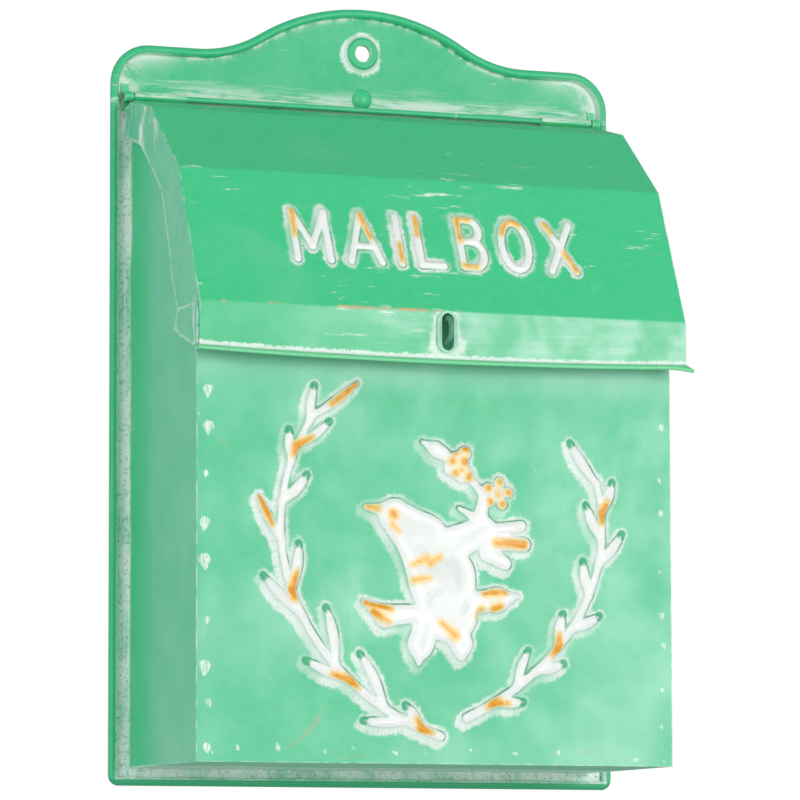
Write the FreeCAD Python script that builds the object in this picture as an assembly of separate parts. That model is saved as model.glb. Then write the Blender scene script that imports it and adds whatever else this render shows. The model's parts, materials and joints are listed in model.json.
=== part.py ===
import FreeCAD, Part
import math
import os

# Sheet-metal wall mailbox, millimetres. X is to the right, -Y is out from the
# wall, Z is up. The origin is where the hanging hole's axis meets the wall.
# "Depth" below means distance out from the wall, so y = -depth.

V = FreeCAD.Vector

# sheet and general fits
SHEET = 0.8
LAP = 0.05                  # gap left between two sheets that are lapped
TINY = 0.01

# back plate
PLATE_HALF_W = 133.0
PLATE_BOTTOM_Z = -367.0
SHOULDER_Z = -2.9
SHOULDER_R = 20.0
FOOT_CORNER_R = 4.0
ARCH_TOP_Z = 22.2
ARCH_R = 103.9
REVERSE_R = 61.6
BEAD_R = 2.2
BEAD_WALL = 0.8
RIM_WIRE_R = 1.3
BEAD_DEPTH = 2.25
HANG_HOLE_R = 4.25
BOSS_TOP_R = 7.2
BOSS_FOOT_R = 9.6
BOSS_RAISE = 2.2

# box
BOX_HALF_W = 122.4
FRONT_DEPTH = 100.1
BOX_BOTTOM_Z = -358.5
FRONT_TOP_Z = -131.7
HEM_DROP = 8.0
HEM_GAP = 0.9
WALL_FLANGE = 3.1
FRONT_FLANGE = 9.0
SIDE_TOP = ((36.0, -47.7), (76.0, -81.7))
SIDE_REAR_TOP_Z = -39.7
WALL_LAP_DEPTH = SHEET + LAP

# hinge
HINGE_DEPTH = 6.0
HINGE_Z = -29.5
HINGE_WIRE_R = 1.5
KNUCKLE_CLEAR = 0.06
KNUCKLE_IN_X = 95.0
KNUCKLE_OUT_X = 122.6
KNUCKLE_WRAP = 270.0
STRAP_IN_X = 123.2
STRAP_OUT_X = 127.0
STRAP_T = 0.9
STRAP_FOOT = 4.5
STOP_Z = -23.0
STOP_R = 5.5
STOP_H = 3.2
STOP_SHANK_R = 1.9

# lid
LID_HALF_W = 125.4
LID_CREASE_1 = (40.4, -39.8)
LID_CREASE_2 = (82.4, -75.0)
BAND_TOP = (112.6, -142.7)
BAND_BOTTOM_Z = -162.9
BEND_R = 1.8
EDGE_SETBACK = 9.0          # bare strip between the hinge wire and the lid's edge
LIP_HALF_W = 127.6
LIP_T = 2.2
LIP_REACH = 5.0
LIP_DROP = 1.4
CHEEK_EDGE = (
    (2.3, -34.8), (2.3, -49.4), (25.9, -56.8), (33.9, -63.4), (53.4, -80.0),
    (56.8, -83.1), (66.7, -108.5), (73.3, -128.6), (79.9, -141.6),
    (80.7, -146.6), (75.3, -152.7), (105.5, -163.1),
)
CHEEK_REAR_DEPTH = 10.2
CHEEK_TAB = 7.5
FLAP_EDGE = ((111.5, -163.0), (105.6, -163.3), (84.0, -156.0), (80.2, -149.0), (84.5, -143.3))

# catch
SLOT_Z = -152.8
SLOT_HALF_H = 9.0
SLOT_HALF_W = 3.15
EYELET_WALL = 0.9
EYELET_FLANGE = 2.0
EYELET_RAISE = 1.2
STAPLE_WIRE_R = 1.3
STAPLE_R = 5.4              # wire centre line
STAPLE_NOSE_DEPTH = 119.6
STAPLE_LIFT = 1.2
BACKING_W = 16.0
BACKING_H = 23.0
BACKING_T = 1.2

# pressed relief
RELIEF = 1.5
SINK = 0.4
WORD = "MAILBOX"
WORD_HALF_W = 74.0
WORD_TOP = 20.5             # distance down the lid's slope
WORD_BOTTOM = 50.5
WORD_STROKE_R = 2.5
LETTER_W = {"M": 17.0, "A": 16.0, "I": 0.0, "L": 11.5, "B": 11.5, "O": 13.0, "X": 13.0}
LETTER_STROKES = {
    "M": ((0, 0, 0, 1), (0, 1, 0.5, 0.35), (0.5, 0.35, 1, 1), (1, 1, 1, 0)),
    "A": ((0, 0, 0.5, 1), (0.5, 1, 1, 0), (0.2, 0.35, 0.8, 0.35)),
    "I": ((0, 0, 0, 1),),
    "L": ((0, 1, 0, 0), (0, 0, 1, 0)),
    "B": ((0, 0, 0, 1), (0, 1, 0.75, 1), (0.75, 1, 0.95, 0.76), (0.95, 0.76, 0.75, 0.53),
          (0, 0.53, 0.75, 0.53), (0.75, 0.53, 1, 0.27), (1, 0.27, 0.75, 0), (0, 0, 0.75, 0)),
    "O": ((0.3, 0, 0.7, 0), (0.7, 0, 1, 0.25), (1, 0.25, 1, 0.75), (1, 0.75, 0.7, 1),
          (0.7, 1, 0.3, 1), (0.3, 1, 0, 0.75), (0, 0.75, 0, 0.25), (0, 0.25, 0.3, 0)),
    "X": ((0, 0, 1, 1), (0, 1, 1, 0)),
}
# two laurel branches: centre x, centre z, half width, half height, start, end
BRANCHES = (
    (2.0, -241.0, -80.0, 107.0, -88.0, 32.0),
    (6.0, -241.0, 82.0, 98.0, -78.0, 22.0),
)
BRANCH_R = 1.2
LEAF_PAIRS = 6
LEAF_IN = 23.0
LEAF_OUT = 19.0
LEAF_R = 3.6
BIRD_STROKES = (
    # x1, z1, r1, x2, z2, r2
    (-22.0, -240.0, 7.5, -8.0, -252.0, 12.0),
    (-8.0, -252.0, 12.0, 6.0, -268.0, 14.0),
    (6.0, -268.0, 13.0, 22.0, -280.0, 6.0),
    (-28.0, -238.5, 2.6, -38.0, -236.5, 0.9),
    (22.0, -280.0, 5.5, 38.0, -290.0, 2.0),
)
SPRIG_STROKES = (
    (-2.0, -300.0, 1.1, 10.0, -236.0, 1.1),
    (10.0, -236.0, 1.1, 8.0, -220.0, 1.1),
    (12.0, -240.0, 1.1, 28.0, -232.0, 1.1),
    (-2.0, -204.0, 0.9, 4.0, -216.0, 3.0),
    (8.0, -300.0, 3.4, -10.0, -311.0, 1.2),
    (-14.0, -288.0, 3.2, -38.0, -281.0, 1.2),
    (12.0, -294.0, 3.2, 10.0, -309.0, 1.2),
)
BLOOMS = ((9.0, -211.0, 4.6), (31.0, -227.0, 5.2), (36.0, -256.0, 5.6))
BLOOM_PETALS = 5
PETAL_R = 3.0


def rad(deg):
    return math.radians(deg)


def prism_x(points, x0, x1):
    """Solid with a (depth, z) polygon for section, running from x0 to x1."""
    corners = [V(x0, -d, z) for d, z in points]
    face = Part.Face(Part.makePolygon(corners + corners[:1]))
    return face.extrude(V(x1 - x0, 0, 0))


def slab(x0, x1, depth0, depth1, z0, z1):
    return Part.makeBox(x1 - x0, depth1 - depth0, z1 - z0, V(x0, -depth1, z0))


def rod_x(radius, depth, z, x0, x1):
    return Part.makeCylinder(radius, x1 - x0, V(x0, -depth, z), V(1, 0, 0))


def rod_out(radius, x, z, depth0, depth1):
    return Part.makeCylinder(radius, depth1 - depth0, V(x, -depth0, z), V(0, -1, 0))


def mirrored(shape):
    return shape.mirror(V(0, 0, 0), V(1, 0, 0))


def fused(first, others):
    return first.fuse(others).removeSplitter()


def offset_points(points, distance):
    """Move an open (depth, z) line sideways by distance, to its right."""
    moved = []
    last = len(points) - 1
    for i, point in enumerate(points):
        before = normal(points[max(i - 1, 0)], points[max(i, 1)])
        after = normal(points[min(i, last - 1)], points[min(i + 1, last)])
        half = (before[0] + after[0], before[1] + after[1])
        scale = 2.0 / (half[0] ** 2 + half[1] ** 2)
        moved.append((point[0] + half[0] * scale * distance, point[1] + half[1] * scale * distance))
    return moved


def normal(a, b):
    length = math.hypot(b[0] - a[0], b[1] - a[1])
    return ((b[1] - a[1]) / length, -(b[0] - a[0]) / length)


def folded(points, thickness, x0, x1, bend):
    """Sheet folded along points, thickened to its right, with rounded bends."""
    inner = offset_points(points, thickness)
    solid = prism_x(list(points) + inner[::-1], x0, x1)
    outside = bend_edges(solid, points[1:-1])
    solid = solid.makeFillet(bend, outside)
    return solid.makeFillet(bend - thickness, bend_edges(solid, inner[1:-1]))


def bend_edges(solid, points):
    found = []
    for edge in solid.Edges:
        ends = [v.Point for v in edge.Vertexes]
        if len(ends) == 2 and abs(abs(ends[0].x - ends[1].x) - solid.BoundBox.XLength) < TINY:
            for depth, z in points:
                if math.hypot(ends[0].y + depth, ends[0].z - z) < TINY:
                    found.append(edge)
    return found


def plate_outline(inset, depth):
    """Closed outline of the back plate, moved inwards by inset."""
    w = PLATE_HALF_W - inset
    low = PLATE_BOTTOM_Z + inset
    foot = FOOT_CORNER_R - inset / 2.0
    shoulder = SHOULDER_R - inset
    flat = SHOULDER_Z - inset
    arch = ARCH_R - inset
    reverse = REVERSE_R + inset
    arch_centre = ARCH_TOP_Z - ARCH_R
    reach = arch + reverse
    rise = SHOULDER_Z + REVERSE_R - arch_centre
    run = math.sqrt(reach ** 2 - rise ** 2)
    turn = math.atan2(rise, run)
    right = []
    right.append(("line", (0, low), (w - foot, low)))
    right.append(("arc", (w - foot, low + foot), foot, -90, 0))
    right.append(("line", (w, low + foot), (w, flat - shoulder)))
    right.append(("arc", (w - shoulder, flat - shoulder), shoulder, 0, 90))
    right.append(("line", (w - shoulder, flat), (run, flat)))
    right.append(("arc", (run, flat + reverse), reverse, -90, math.degrees(turn) - 180))
    right.append(("arc", (0, arch_centre), arch, math.degrees(turn), 90))
    edges = [outline_edge(item, depth) for item in right]
    other = [edge.mirror(V(0, 0, 0), V(1, 0, 0)) for edge in edges]
    return Part.Wire(Part.__sortEdges__(edges + other))


def outline_edge(item, depth):
    if item[0] == "line":
        (x0, z0), (x1, z1) = item[1:]
        return Part.LineSegment(V(x0, -depth, z0), V(x1, -depth, z1)).toShape()
    (cx, cz), r, a0, a1 = item[1:]
    spots = []
    for angle in (a0, (a0 + a1) / 2.0, a1):
        spots.append(V(cx + r * math.cos(rad(angle)), -depth, cz + r * math.sin(rad(angle))))
    return Part.Arc(*spots).toShape()


def along_outline(radius):
    """Round bar swept along the bead's centre line."""
    spine = plate_outline(BEAD_R, BEAD_DEPTH)
    ring = Part.Circle(V(0, -BEAD_DEPTH, PLATE_BOTTOM_Z + BEAD_R), V(1, 0, 0), radius)
    return spine.makePipeShell([Part.Wire(ring.toShape())], True, False)


def hanging_boss():
    """Pressed-up ring round the hanging hole, its collar turned back to the wall."""
    top = BOSS_RAISE + SHEET
    collar = HANG_HOLE_R + SHEET
    section = ((HANG_HOLE_R, 0.0), (collar, 0.0), (collar, BOSS_RAISE),
               (BOSS_TOP_R - SHEET / 2, BOSS_RAISE), (BOSS_FOOT_R - SHEET, 0.0),
               (BOSS_FOOT_R + 1.0, 0.0), (BOSS_FOOT_R + 1.0, SHEET), (BOSS_FOOT_R, SHEET),
               (BOSS_TOP_R, top), (HANG_HOLE_R, top))
    corners = [V(r, -d, 0) for r, d in section]
    face = Part.Face(Part.makePolygon(corners + corners[:1]))
    return face.revolve(V(0, 0, 0), V(0, 1, 0), 360)


def back_plate():
    sheet = Part.Face(plate_outline(BEAD_R, 0)).extrude(V(0, -SHEET, 0))
    sheet = sheet.cut(rod_out(BOSS_FOOT_R + 0.5, 0, 0, -1, 2))
    sheet = sheet.cut(rod_out(STOP_SHANK_R, 0, STOP_Z, -1, 2))
    bead = along_outline(BEAD_R).cut(along_outline(BEAD_R - BEAD_WALL))
    return fused(sheet, [bead, hanging_boss()])


def rim_wire():
    return along_outline(RIM_WIRE_R)


def side_panel():
    """Right side: wall flange outwards, front flange inwards."""
    outer = BOX_HALF_W
    back = WALL_LAP_DEPTH
    front = FRONT_DEPTH - SHEET - LAP
    low = BOX_BOTTOM_Z
    web = ((back, low), (front, low), (front, FRONT_TOP_Z), SIDE_TOP[1], SIDE_TOP[0], (back, SIDE_REAR_TOP_Z))
    panel = prism_x(web, outer - SHEET, outer)
    flange = slab(outer - SHEET, outer + WALL_FLANGE, back, back + SHEET, low, SIDE_REAR_TOP_Z)
    return_z = FRONT_TOP_Z - HEM_DROP - 2.0
    turned = slab(outer - FRONT_FLANGE, outer, front - SHEET, front, low + SHEET + LAP, return_z)
    return fused(panel, [flange, turned])


def bottom_panel():
    """Floor of the box with all four edges turned up inside."""
    half = BOX_HALF_W - SHEET - LAP
    back = WALL_LAP_DEPTH
    front = FRONT_DEPTH - SHEET - LAP
    low = BOX_BOTTOM_Z
    floor = slab(-half, half, back, front, low, low + SHEET)
    corner = FRONT_FLANGE + 2.0
    tail = slab(-half + corner, half - corner, back, back + SHEET, low, low + FRONT_FLANGE)
    nose = slab(-half + corner, half - corner, front - SHEET, front, low, low + FRONT_FLANGE)
    rear = back + 3.0
    sides = []
    for x in (-half, half - SHEET):
        sides.append(slab(x, x + SHEET, rear, front - 3.0, low, low + FRONT_FLANGE))
    return fused(floor, [tail, nose] + sides)


def taper(x0, z0, r0, x1, z1, r1, height):
    """Rounded stroke that narrows from r0 to r1, standing from z = 0 to height."""
    length = math.hypot(x1 - x0, z1 - z0)
    heading = math.atan2(z1 - z0, x1 - x0)
    lean = math.asin((r0 - r1) / length)
    corners = []
    for x, z, r, side in ((x0, z0, r0, 1), (x1, z1, r1, 1), (x1, z1, r1, -1), (x0, z0, r0, -1)):
        angle = heading + side * (math.pi / 2 - lean)
        corners.append(V(x + r * math.cos(angle), z + r * math.sin(angle), 0))
    body = Part.Face(Part.makePolygon(corners + corners[:1])).extrude(V(0, 0, height))
    caps = []
    for x, z, r in ((x0, z0, r0), (x1, z1, r1)):
        caps.append(Part.makeCylinder(r, height, V(x, z, 0)))
    return [body] + caps


def leaf(x, z, heading, length, height):
    middle = 0.45 * length
    cx = x + middle * math.cos(heading)
    cz = z + middle * math.sin(heading)
    tx = x + length * math.cos(heading)
    tz = z + length * math.sin(heading)
    return taper(x, z, 1.0, cx, cz, LEAF_R, height) + taper(cx, cz, LEAF_R, tx, tz, 0.8, height)


def branch(cx, cz, half_w, half_h, start, end, height):
    pieces = []
    steps = 2 * LEAF_PAIRS
    spots = []
    for i in range(steps + 1):
        angle = rad(start + (end - start) * i / steps)
        spots.append((cx + half_w * math.cos(angle), cz + half_h * math.sin(angle)))
    for a, b in zip(spots, spots[1:]):
        pieces += taper(a[0], a[1], BRANCH_R, b[0], b[1], BRANCH_R - TINY, height)
    inward = 1 if half_w < 0 else -1
    for i in range(1, steps):
        along = math.atan2(spots[i + 1][1] - spots[i - 1][1], spots[i + 1][0] - spots[i - 1][0])
        side = -inward if i % 2 else inward
        spread = rad(38.0 if side == inward else 30.0)
        length = LEAF_IN if side == inward else LEAF_OUT
        pieces += leaf(spots[i][0], spots[i][1], along - side * spread, length, height)
    return pieces


def bloom(x, z, r, height):
    pieces = [Part.makeCylinder(r * 0.7, height, V(x, z, 0))]
    for i in range(BLOOM_PETALS):
        angle = rad(90 + 360.0 * i / BLOOM_PETALS)
        pieces.append(Part.makeCylinder(PETAL_R, height, V(x + r * math.cos(angle), z + r * math.sin(angle), 0)))
    return pieces


def panel_relief():
    height = RELIEF + SINK
    pieces = []
    for item in BRANCHES:
        pieces += branch(*item, height)
    for stroke in BIRD_STROKES + SPRIG_STROKES:
        pieces += taper(*stroke, height)
    for x, z, r in BLOOMS:
        pieces += bloom(x, z, r, height)
    relief = pieces[0].fuse(pieces[1:])
    relief.rotate(V(0, 0, 0), V(1, 0, 0), 90)
    relief.translate(V(0, -(FRONT_DEPTH - SINK), 0))
    return relief


def front_panel():
    """Front with a folded top hem, staple holes and the pressed relief."""
    top = FRONT_TOP_Z
    back = FRONT_DEPTH - 2 * SHEET - HEM_GAP
    sheet = slab(-BOX_HALF_W, BOX_HALF_W, FRONT_DEPTH - SHEET, FRONT_DEPTH, BOX_BOTTOM_Z, top)
    inner = BOX_HALF_W - FRONT_FLANGE
    fold = slab(-inner, inner, back, FRONT_DEPTH, top - SHEET, top)
    tail = slab(-inner, inner, back, back + SHEET, top - HEM_DROP, top)
    panel = fused(sheet, [fold, tail] + panel_relief().Solids)
    for z in staple_leg_heights():
        panel = panel.cut(rod_out(STAPLE_WIRE_R + LAP, 0, z, back - 1, FRONT_DEPTH + 1))
    return panel


def staple_leg_heights():
    middle = SLOT_Z + STAPLE_LIFT
    return (middle - STAPLE_R, middle + STAPLE_R)


def lock_staple():
    """Fixed wire loop for a padlock, ends clinched behind the backing plate."""
    middle = SLOT_Z + STAPLE_LIFT
    bend = STAPLE_NOSE_DEPTH - STAPLE_WIRE_R - STAPLE_R
    tail = FRONT_DEPTH - SHEET - LAP - BACKING_T - 0.6
    loop = Part.makeTorus(STAPLE_R, STAPLE_WIRE_R, V(0, -bend, middle), V(1, 0, 0))
    loop = loop.common(slab(-STAPLE_R, STAPLE_R, bend, bend + 2 * STAPLE_R, middle - 20, middle + 20))
    legs = []
    for z in staple_leg_heights():
        legs.append(rod_out(STAPLE_WIRE_R, 0, z, tail, bend))
        legs.append(rod_out(STAPLE_WIRE_R * 1.5, 0, z, tail - 0.8, tail + 0.5))
    return fused(loop, legs)


def staple_backing_plate():
    middle = SLOT_Z + STAPLE_LIFT
    front = FRONT_DEPTH - SHEET - LAP
    half_h = BACKING_H / 2
    plate = slab(-BACKING_W / 2, BACKING_W / 2, front - BACKING_T, front, middle - half_h, middle + half_h)
    corners = [e for e in plate.Edges if abs(e.BoundBox.YLength - BACKING_T) < TINY]
    plate = plate.makeFillet(2.0, corners)
    for z in staple_leg_heights():
        plate = plate.cut(rod_out(STAPLE_WIRE_R + LAP, 0, z, front - 5, front + 1))
    return plate


def hinge_wire():
    wire = rod_x(HINGE_WIRE_R, HINGE_DEPTH, HINGE_Z, -STRAP_OUT_X, STRAP_OUT_X)
    ends = [e for e in wire.Edges if e.Curve.TypeId == "Part::GeomCircle"]
    return wire.makeFillet(0.5, ends)


def hinge_strap():
    """Right-hand clip that holds the wire's end to the back plate."""
    inside = HINGE_WIRE_R + LAP
    outside = inside + STRAP_T
    back = WALL_LAP_DEPTH
    top = HINGE_Z + outside
    low = HINGE_Z - outside
    clip = rod_x(outside, HINGE_DEPTH, HINGE_Z, STRAP_IN_X, STRAP_OUT_X)
    legs = slab(STRAP_IN_X, STRAP_OUT_X, back, HINGE_DEPTH, low, top)
    foot = slab(STRAP_IN_X, STRAP_OUT_X, back, back + STRAP_T, low - STRAP_FOOT, top + STRAP_FOOT)
    bore = rod_x(inside, HINGE_DEPTH, HINGE_Z, STRAP_IN_X - 1, STRAP_OUT_X + 1)
    throat = slab(STRAP_IN_X - 1, STRAP_OUT_X + 1, 0, HINGE_DEPTH, HINGE_Z - inside, HINGE_Z + inside)
    return fused(clip, [legs, foot]).cut(bore.fuse(throat)).Solids[0]


def lid_stop_rivet():
    ball_r = (STOP_R ** 2 + STOP_H ** 2) / (2 * STOP_H)
    ball = Part.makeSphere(ball_r, V(0, -(SHEET + STOP_H - ball_r), STOP_Z))
    head = ball.common(rod_out(STOP_R, 0, STOP_Z, SHEET, SHEET + STOP_H))
    shank = rod_out(STOP_SHANK_R - LAP, 0, STOP_Z, 0, SHEET + 0.5)
    return fused(head, [shank])


def facet_start():
    """Where the first facet leaves the knuckle from below, on the lid's outer face."""
    r = knuckle_outer_r() - SHEET
    dx = LID_CREASE_1[0] - HINGE_DEPTH
    dz = LID_CREASE_1[1] - HINGE_Z
    angle = math.atan2(dz, dx) - math.acos(r / math.hypot(dx, dz))
    return (HINGE_DEPTH + r * math.cos(angle), HINGE_Z + r * math.sin(angle)), angle


def knuckle_outer_r():
    return HINGE_WIRE_R + KNUCKLE_CLEAR + SHEET


def lid_line(setback):
    (d0, z0), angle = facet_start()
    along = (-math.sin(angle), math.cos(angle))
    start = (d0 + along[0] * setback, z0 + along[1] * setback)
    return [start, LID_CREASE_1, LID_CREASE_2, BAND_TOP, (BAND_TOP[0], BAND_BOTTOM_Z)]


def knuckle(x0, x1):
    """Curl of the lid's edge round the hinge wire, with the strip to the lid."""
    (d0, z0), angle = facet_start()
    outer = knuckle_outer_r()
    ring = rod_x(outer, HINGE_DEPTH, HINGE_Z, x0, x1)
    ring = ring.cut(rod_x(outer - SHEET, HINGE_DEPTH, HINGE_Z, x0 - 1, x1 + 1))
    mouth0 = angle
    mouth1 = angle + rad(360.0 - KNUCKLE_WRAP)
    reach = 3 * outer
    corners = [(HINGE_DEPTH, HINGE_Z)]
    for share in (0.0, 0.5, 1.0):
        turn = mouth0 + (mouth1 - mouth0) * share
        corners.append((HINGE_DEPTH + reach * math.cos(turn), HINGE_Z + reach * math.sin(turn)))
    ring = ring.cut(prism_x(corners, x0 - 1, x1 + 1))
    line = lid_line(0.0)[:2]
    end = (line[0][0] + (line[1][0] - line[0][0]) * 0.2, line[0][1] + (line[1][1] - line[0][1]) * 0.2)
    strip = offset_points([line[0], end], SHEET)
    return [ring, prism_x([line[0], end] + strip[::-1], x0, x1)]


def slot_prism(half_w, half_h, depth0, depth1):
    straight = half_h - half_w
    bar = slab(-half_w, half_w, depth0, depth1, SLOT_Z - straight, SLOT_Z + straight)
    ends = [rod_out(half_w, 0, SLOT_Z + side * straight, depth0, depth1) for side in (-1, 1)]
    return fused(bar, ends)


def lid_lip():
    """Hemmed lip turned outwards along the lower edge of the band."""
    back = BAND_TOP[0] - SHEET
    nose = BAND_TOP[0] + LIP_REACH
    top = BAND_BOTTOM_Z + TINY
    section = ((back, top), (BAND_TOP[0], top), (nose, top - LIP_DROP),
               (nose, top - LIP_DROP - LIP_T), (back, top - LIP_T))
    lip = prism_x(section, -LIP_HALF_W, LIP_HALF_W)
    rounds = bend_edges(lip, section[2:4])
    return lip.makeFillet(1.0, rounds)


def letter_strokes(height):
    """The word as rounded strokes, laid out flat: x across, y up the slope."""
    gap = (2 * WORD_HALF_W - 2 * WORD_STROKE_R - sum(LETTER_W[c] for c in WORD)) / (len(WORD) - 1)
    tall = WORD_BOTTOM - WORD_TOP - 2 * WORD_STROKE_R
    x = -WORD_HALF_W + WORD_STROKE_R
    pieces = []
    for letter in WORD:
        for x0, y0, x1, y1 in LETTER_STROKES[letter]:
            a = (x + x0 * LETTER_W[letter], y0 * tall)
            b = (x + x1 * LETTER_W[letter], y1 * tall)
            pieces += taper(a[0], a[1], WORD_STROKE_R, b[0], b[1], WORD_STROKE_R - TINY, height)
        x += LETTER_W[letter] + gap
    return pieces


def lid_word():
    """Raised word standing on the steep facet of the lid."""
    pieces = letter_strokes(RELIEF + SINK)
    word = pieces[0].fuse(pieces[1:])
    down = (BAND_TOP[0] - LID_CREASE_2[0], BAND_TOP[1] - LID_CREASE_2[1])
    length = math.hypot(*down)
    slope = math.degrees(math.atan2(-down[1], down[0]))
    foot = WORD_BOTTOM - WORD_STROKE_R
    out = normal(LID_CREASE_2, BAND_TOP)
    depth = LID_CREASE_2[0] + down[0] / length * foot + out[0] * SINK
    z = LID_CREASE_2[1] + down[1] / length * foot + out[1] * SINK
    word.rotate(V(0, 0, 0), V(1, 0, 0), slope)
    word.translate(V(0, -depth, z))
    return word


def lid_sheet():
    """Folded lid with knuckles, lip, raised word and the catch slot."""
    line = lid_line(EDGE_SETBACK)
    sheet = folded(line, SHEET, -LID_HALF_W, LID_HALF_W, BEND_R)
    extras = knuckle(KNUCKLE_IN_X, KNUCKLE_OUT_X) + knuckle(-KNUCKLE_OUT_X, -KNUCKLE_IN_X)
    lid = fused(sheet, extras + [lid_lip()] + lid_word().Solids)
    window = slot_prism(SLOT_HALF_W + EYELET_WALL + LAP, SLOT_HALF_H + EYELET_WALL + LAP, 90, 130)
    return lid.cut(window)


def slot_eyelet():
    """Oval eyelet lining the slot, flange on the band's outer face."""
    front = BAND_TOP[0]
    back = front - SHEET
    tube = slot_prism(SLOT_HALF_W + EYELET_WALL, SLOT_HALF_H + EYELET_WALL, back - 0.2, front + EYELET_RAISE)
    flange = slot_prism(SLOT_HALF_W + EYELET_FLANGE, SLOT_HALF_H + 1.1, front + LAP, front + EYELET_RAISE)
    return fused(tube, [flange]).cut(slot_prism(SLOT_HALF_W, SLOT_HALF_H, back - 2, front + 4))


def lid_cheek():
    """Right-hand side flap of the lid, with two tabs under the sheet."""
    under = offset_points(lid_line(0.0), SHEET + LAP)
    share = (CHEEK_REAR_DEPTH - under[0][0]) / (under[1][0] - under[0][0])
    rear = (CHEEK_REAR_DEPTH, under[0][1] + (under[1][1] - under[0][1]) * share)
    foot = (under[3][0], BAND_BOTTOM_Z - 0.2 + TINY)
    outline = list(CHEEK_EDGE) + [foot, under[3], under[2], under[1], rear, (rear[0] - 1.2, HINGE_Z - 4.5)]
    plate = prism_x(outline, LID_HALF_W - SHEET, LID_HALF_W)
    tabs = []
    lower = offset_points(lid_line(0.0), 2 * SHEET + LAP)
    for i, (near, far) in ((1, (0.12, 0.88)), (2, (0.08, 0.9))):
        corners = []
        for line, shares in ((under, (near, far)), (lower, (far, near))):
            for part in shares:
                corners.append(tuple(line[i][k] + (line[i + 1][k] - line[i][k]) * part for k in (0, 1)))
        tabs.append(prism_x(corners, LID_HALF_W - CHEEK_TAB, LID_HALF_W))
    return fused(plate, tabs)


def corner_flap():
    """Right-hand end of the band, folded back over the cheek."""
    outline = list(FLAP_EDGE) + [(BAND_TOP[0] - 1.1, BAND_TOP[1] - 0.6)]
    x0 = LID_HALF_W + LAP
    return prism_x(outline, x0, x0 + SHEET)


SUBPARTS = {
    "back_plate": back_plate,
    "rim_wire": rim_wire,
    "left_side_panel": lambda: mirrored(side_panel()),
    "right_side_panel": side_panel,
    "bottom_panel": bottom_panel,
    "front_panel": front_panel,
    "lock_staple": lock_staple,
    "staple_backing_plate": staple_backing_plate,
    "hinge_wire": hinge_wire,
    "left_hinge_strap": lambda: mirrored(hinge_strap()),
    "right_hinge_strap": hinge_strap,
    "lid_stop_rivet": lid_stop_rivet,
    "lid_sheet": lid_sheet,
    "lid_slot_eyelet": slot_eyelet,
    "lid_left_cheek": lambda: mirrored(lid_cheek()),
    "lid_right_cheek": lid_cheek,
    "lid_left_corner_flap": lambda: mirrored(corner_flap()),
    "lid_right_corner_flap": corner_flap,
}

os.makedirs("parts", exist_ok=True)
for name, make in SUBPARTS.items():
    shape = make()
    if len(shape.Solids) == 1:
        shape = shape.Solids[0]
    shape.exportStep("parts/" + name + ".step")
    print(name, shape.isValid(), len(shape.Solids), round(shape.Volume, 1))
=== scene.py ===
import json
import math
import random

import bpy
import numpy as np
from mathutils import Matrix, Vector


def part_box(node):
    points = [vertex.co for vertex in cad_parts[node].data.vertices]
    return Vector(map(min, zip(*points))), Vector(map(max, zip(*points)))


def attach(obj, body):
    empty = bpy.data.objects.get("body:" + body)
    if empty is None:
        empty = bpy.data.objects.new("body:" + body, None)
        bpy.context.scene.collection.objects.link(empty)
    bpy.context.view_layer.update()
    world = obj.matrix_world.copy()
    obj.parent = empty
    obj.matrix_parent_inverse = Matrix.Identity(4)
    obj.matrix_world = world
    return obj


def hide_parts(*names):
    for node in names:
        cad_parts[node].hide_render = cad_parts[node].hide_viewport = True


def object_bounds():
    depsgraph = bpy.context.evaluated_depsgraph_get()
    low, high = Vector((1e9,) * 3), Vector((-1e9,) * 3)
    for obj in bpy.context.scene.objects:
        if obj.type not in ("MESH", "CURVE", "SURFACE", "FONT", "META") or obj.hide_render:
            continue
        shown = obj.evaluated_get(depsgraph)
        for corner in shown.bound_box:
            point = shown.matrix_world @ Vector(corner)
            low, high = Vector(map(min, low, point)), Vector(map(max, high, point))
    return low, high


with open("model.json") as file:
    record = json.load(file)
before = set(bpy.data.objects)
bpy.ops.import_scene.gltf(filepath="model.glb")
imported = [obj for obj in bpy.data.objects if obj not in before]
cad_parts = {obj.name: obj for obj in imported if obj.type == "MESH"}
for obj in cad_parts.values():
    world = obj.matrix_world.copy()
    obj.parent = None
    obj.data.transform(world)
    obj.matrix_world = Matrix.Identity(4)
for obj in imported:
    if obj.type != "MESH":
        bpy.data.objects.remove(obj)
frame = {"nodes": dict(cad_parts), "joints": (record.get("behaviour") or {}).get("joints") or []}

bl_info = {
    "name": "Enamelled wall mailbox",
    "version": (1, 0, 0),
    "blender": (4, 5, 0),
    "location": "View3D > Sidebar > Mailbox",
    "description": "Pressed sheets, distressed paint and a studio for a wall mounted mailbox",
    "category": "Object",
}

# -------------------------------- sizes, in metres

MM = 0.001
CAD_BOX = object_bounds()
PANEL_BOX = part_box("front_panel")
LID_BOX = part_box("lid_sheet")
CHEEK_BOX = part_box("lid_right_cheek")
HINGE = frame["joints"][0]["pos_m"]

HINGE_DEPTH = -HINGE[1]
HINGE_Z = HINGE[2]
PANEL_HALF_W = PANEL_BOX[1][0]
PANEL_TOP = PANEL_BOX[1][2]
PANEL_LOW = PANEL_BOX[0][2]
LID_HALF_W = CHEEK_BOX[1][0]
LIP_HALF_W = LID_BOX[1][0]
LIP_NOSE = -LID_BOX[0][1]
LIP_LOW = LID_BOX[0][2]

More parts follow.
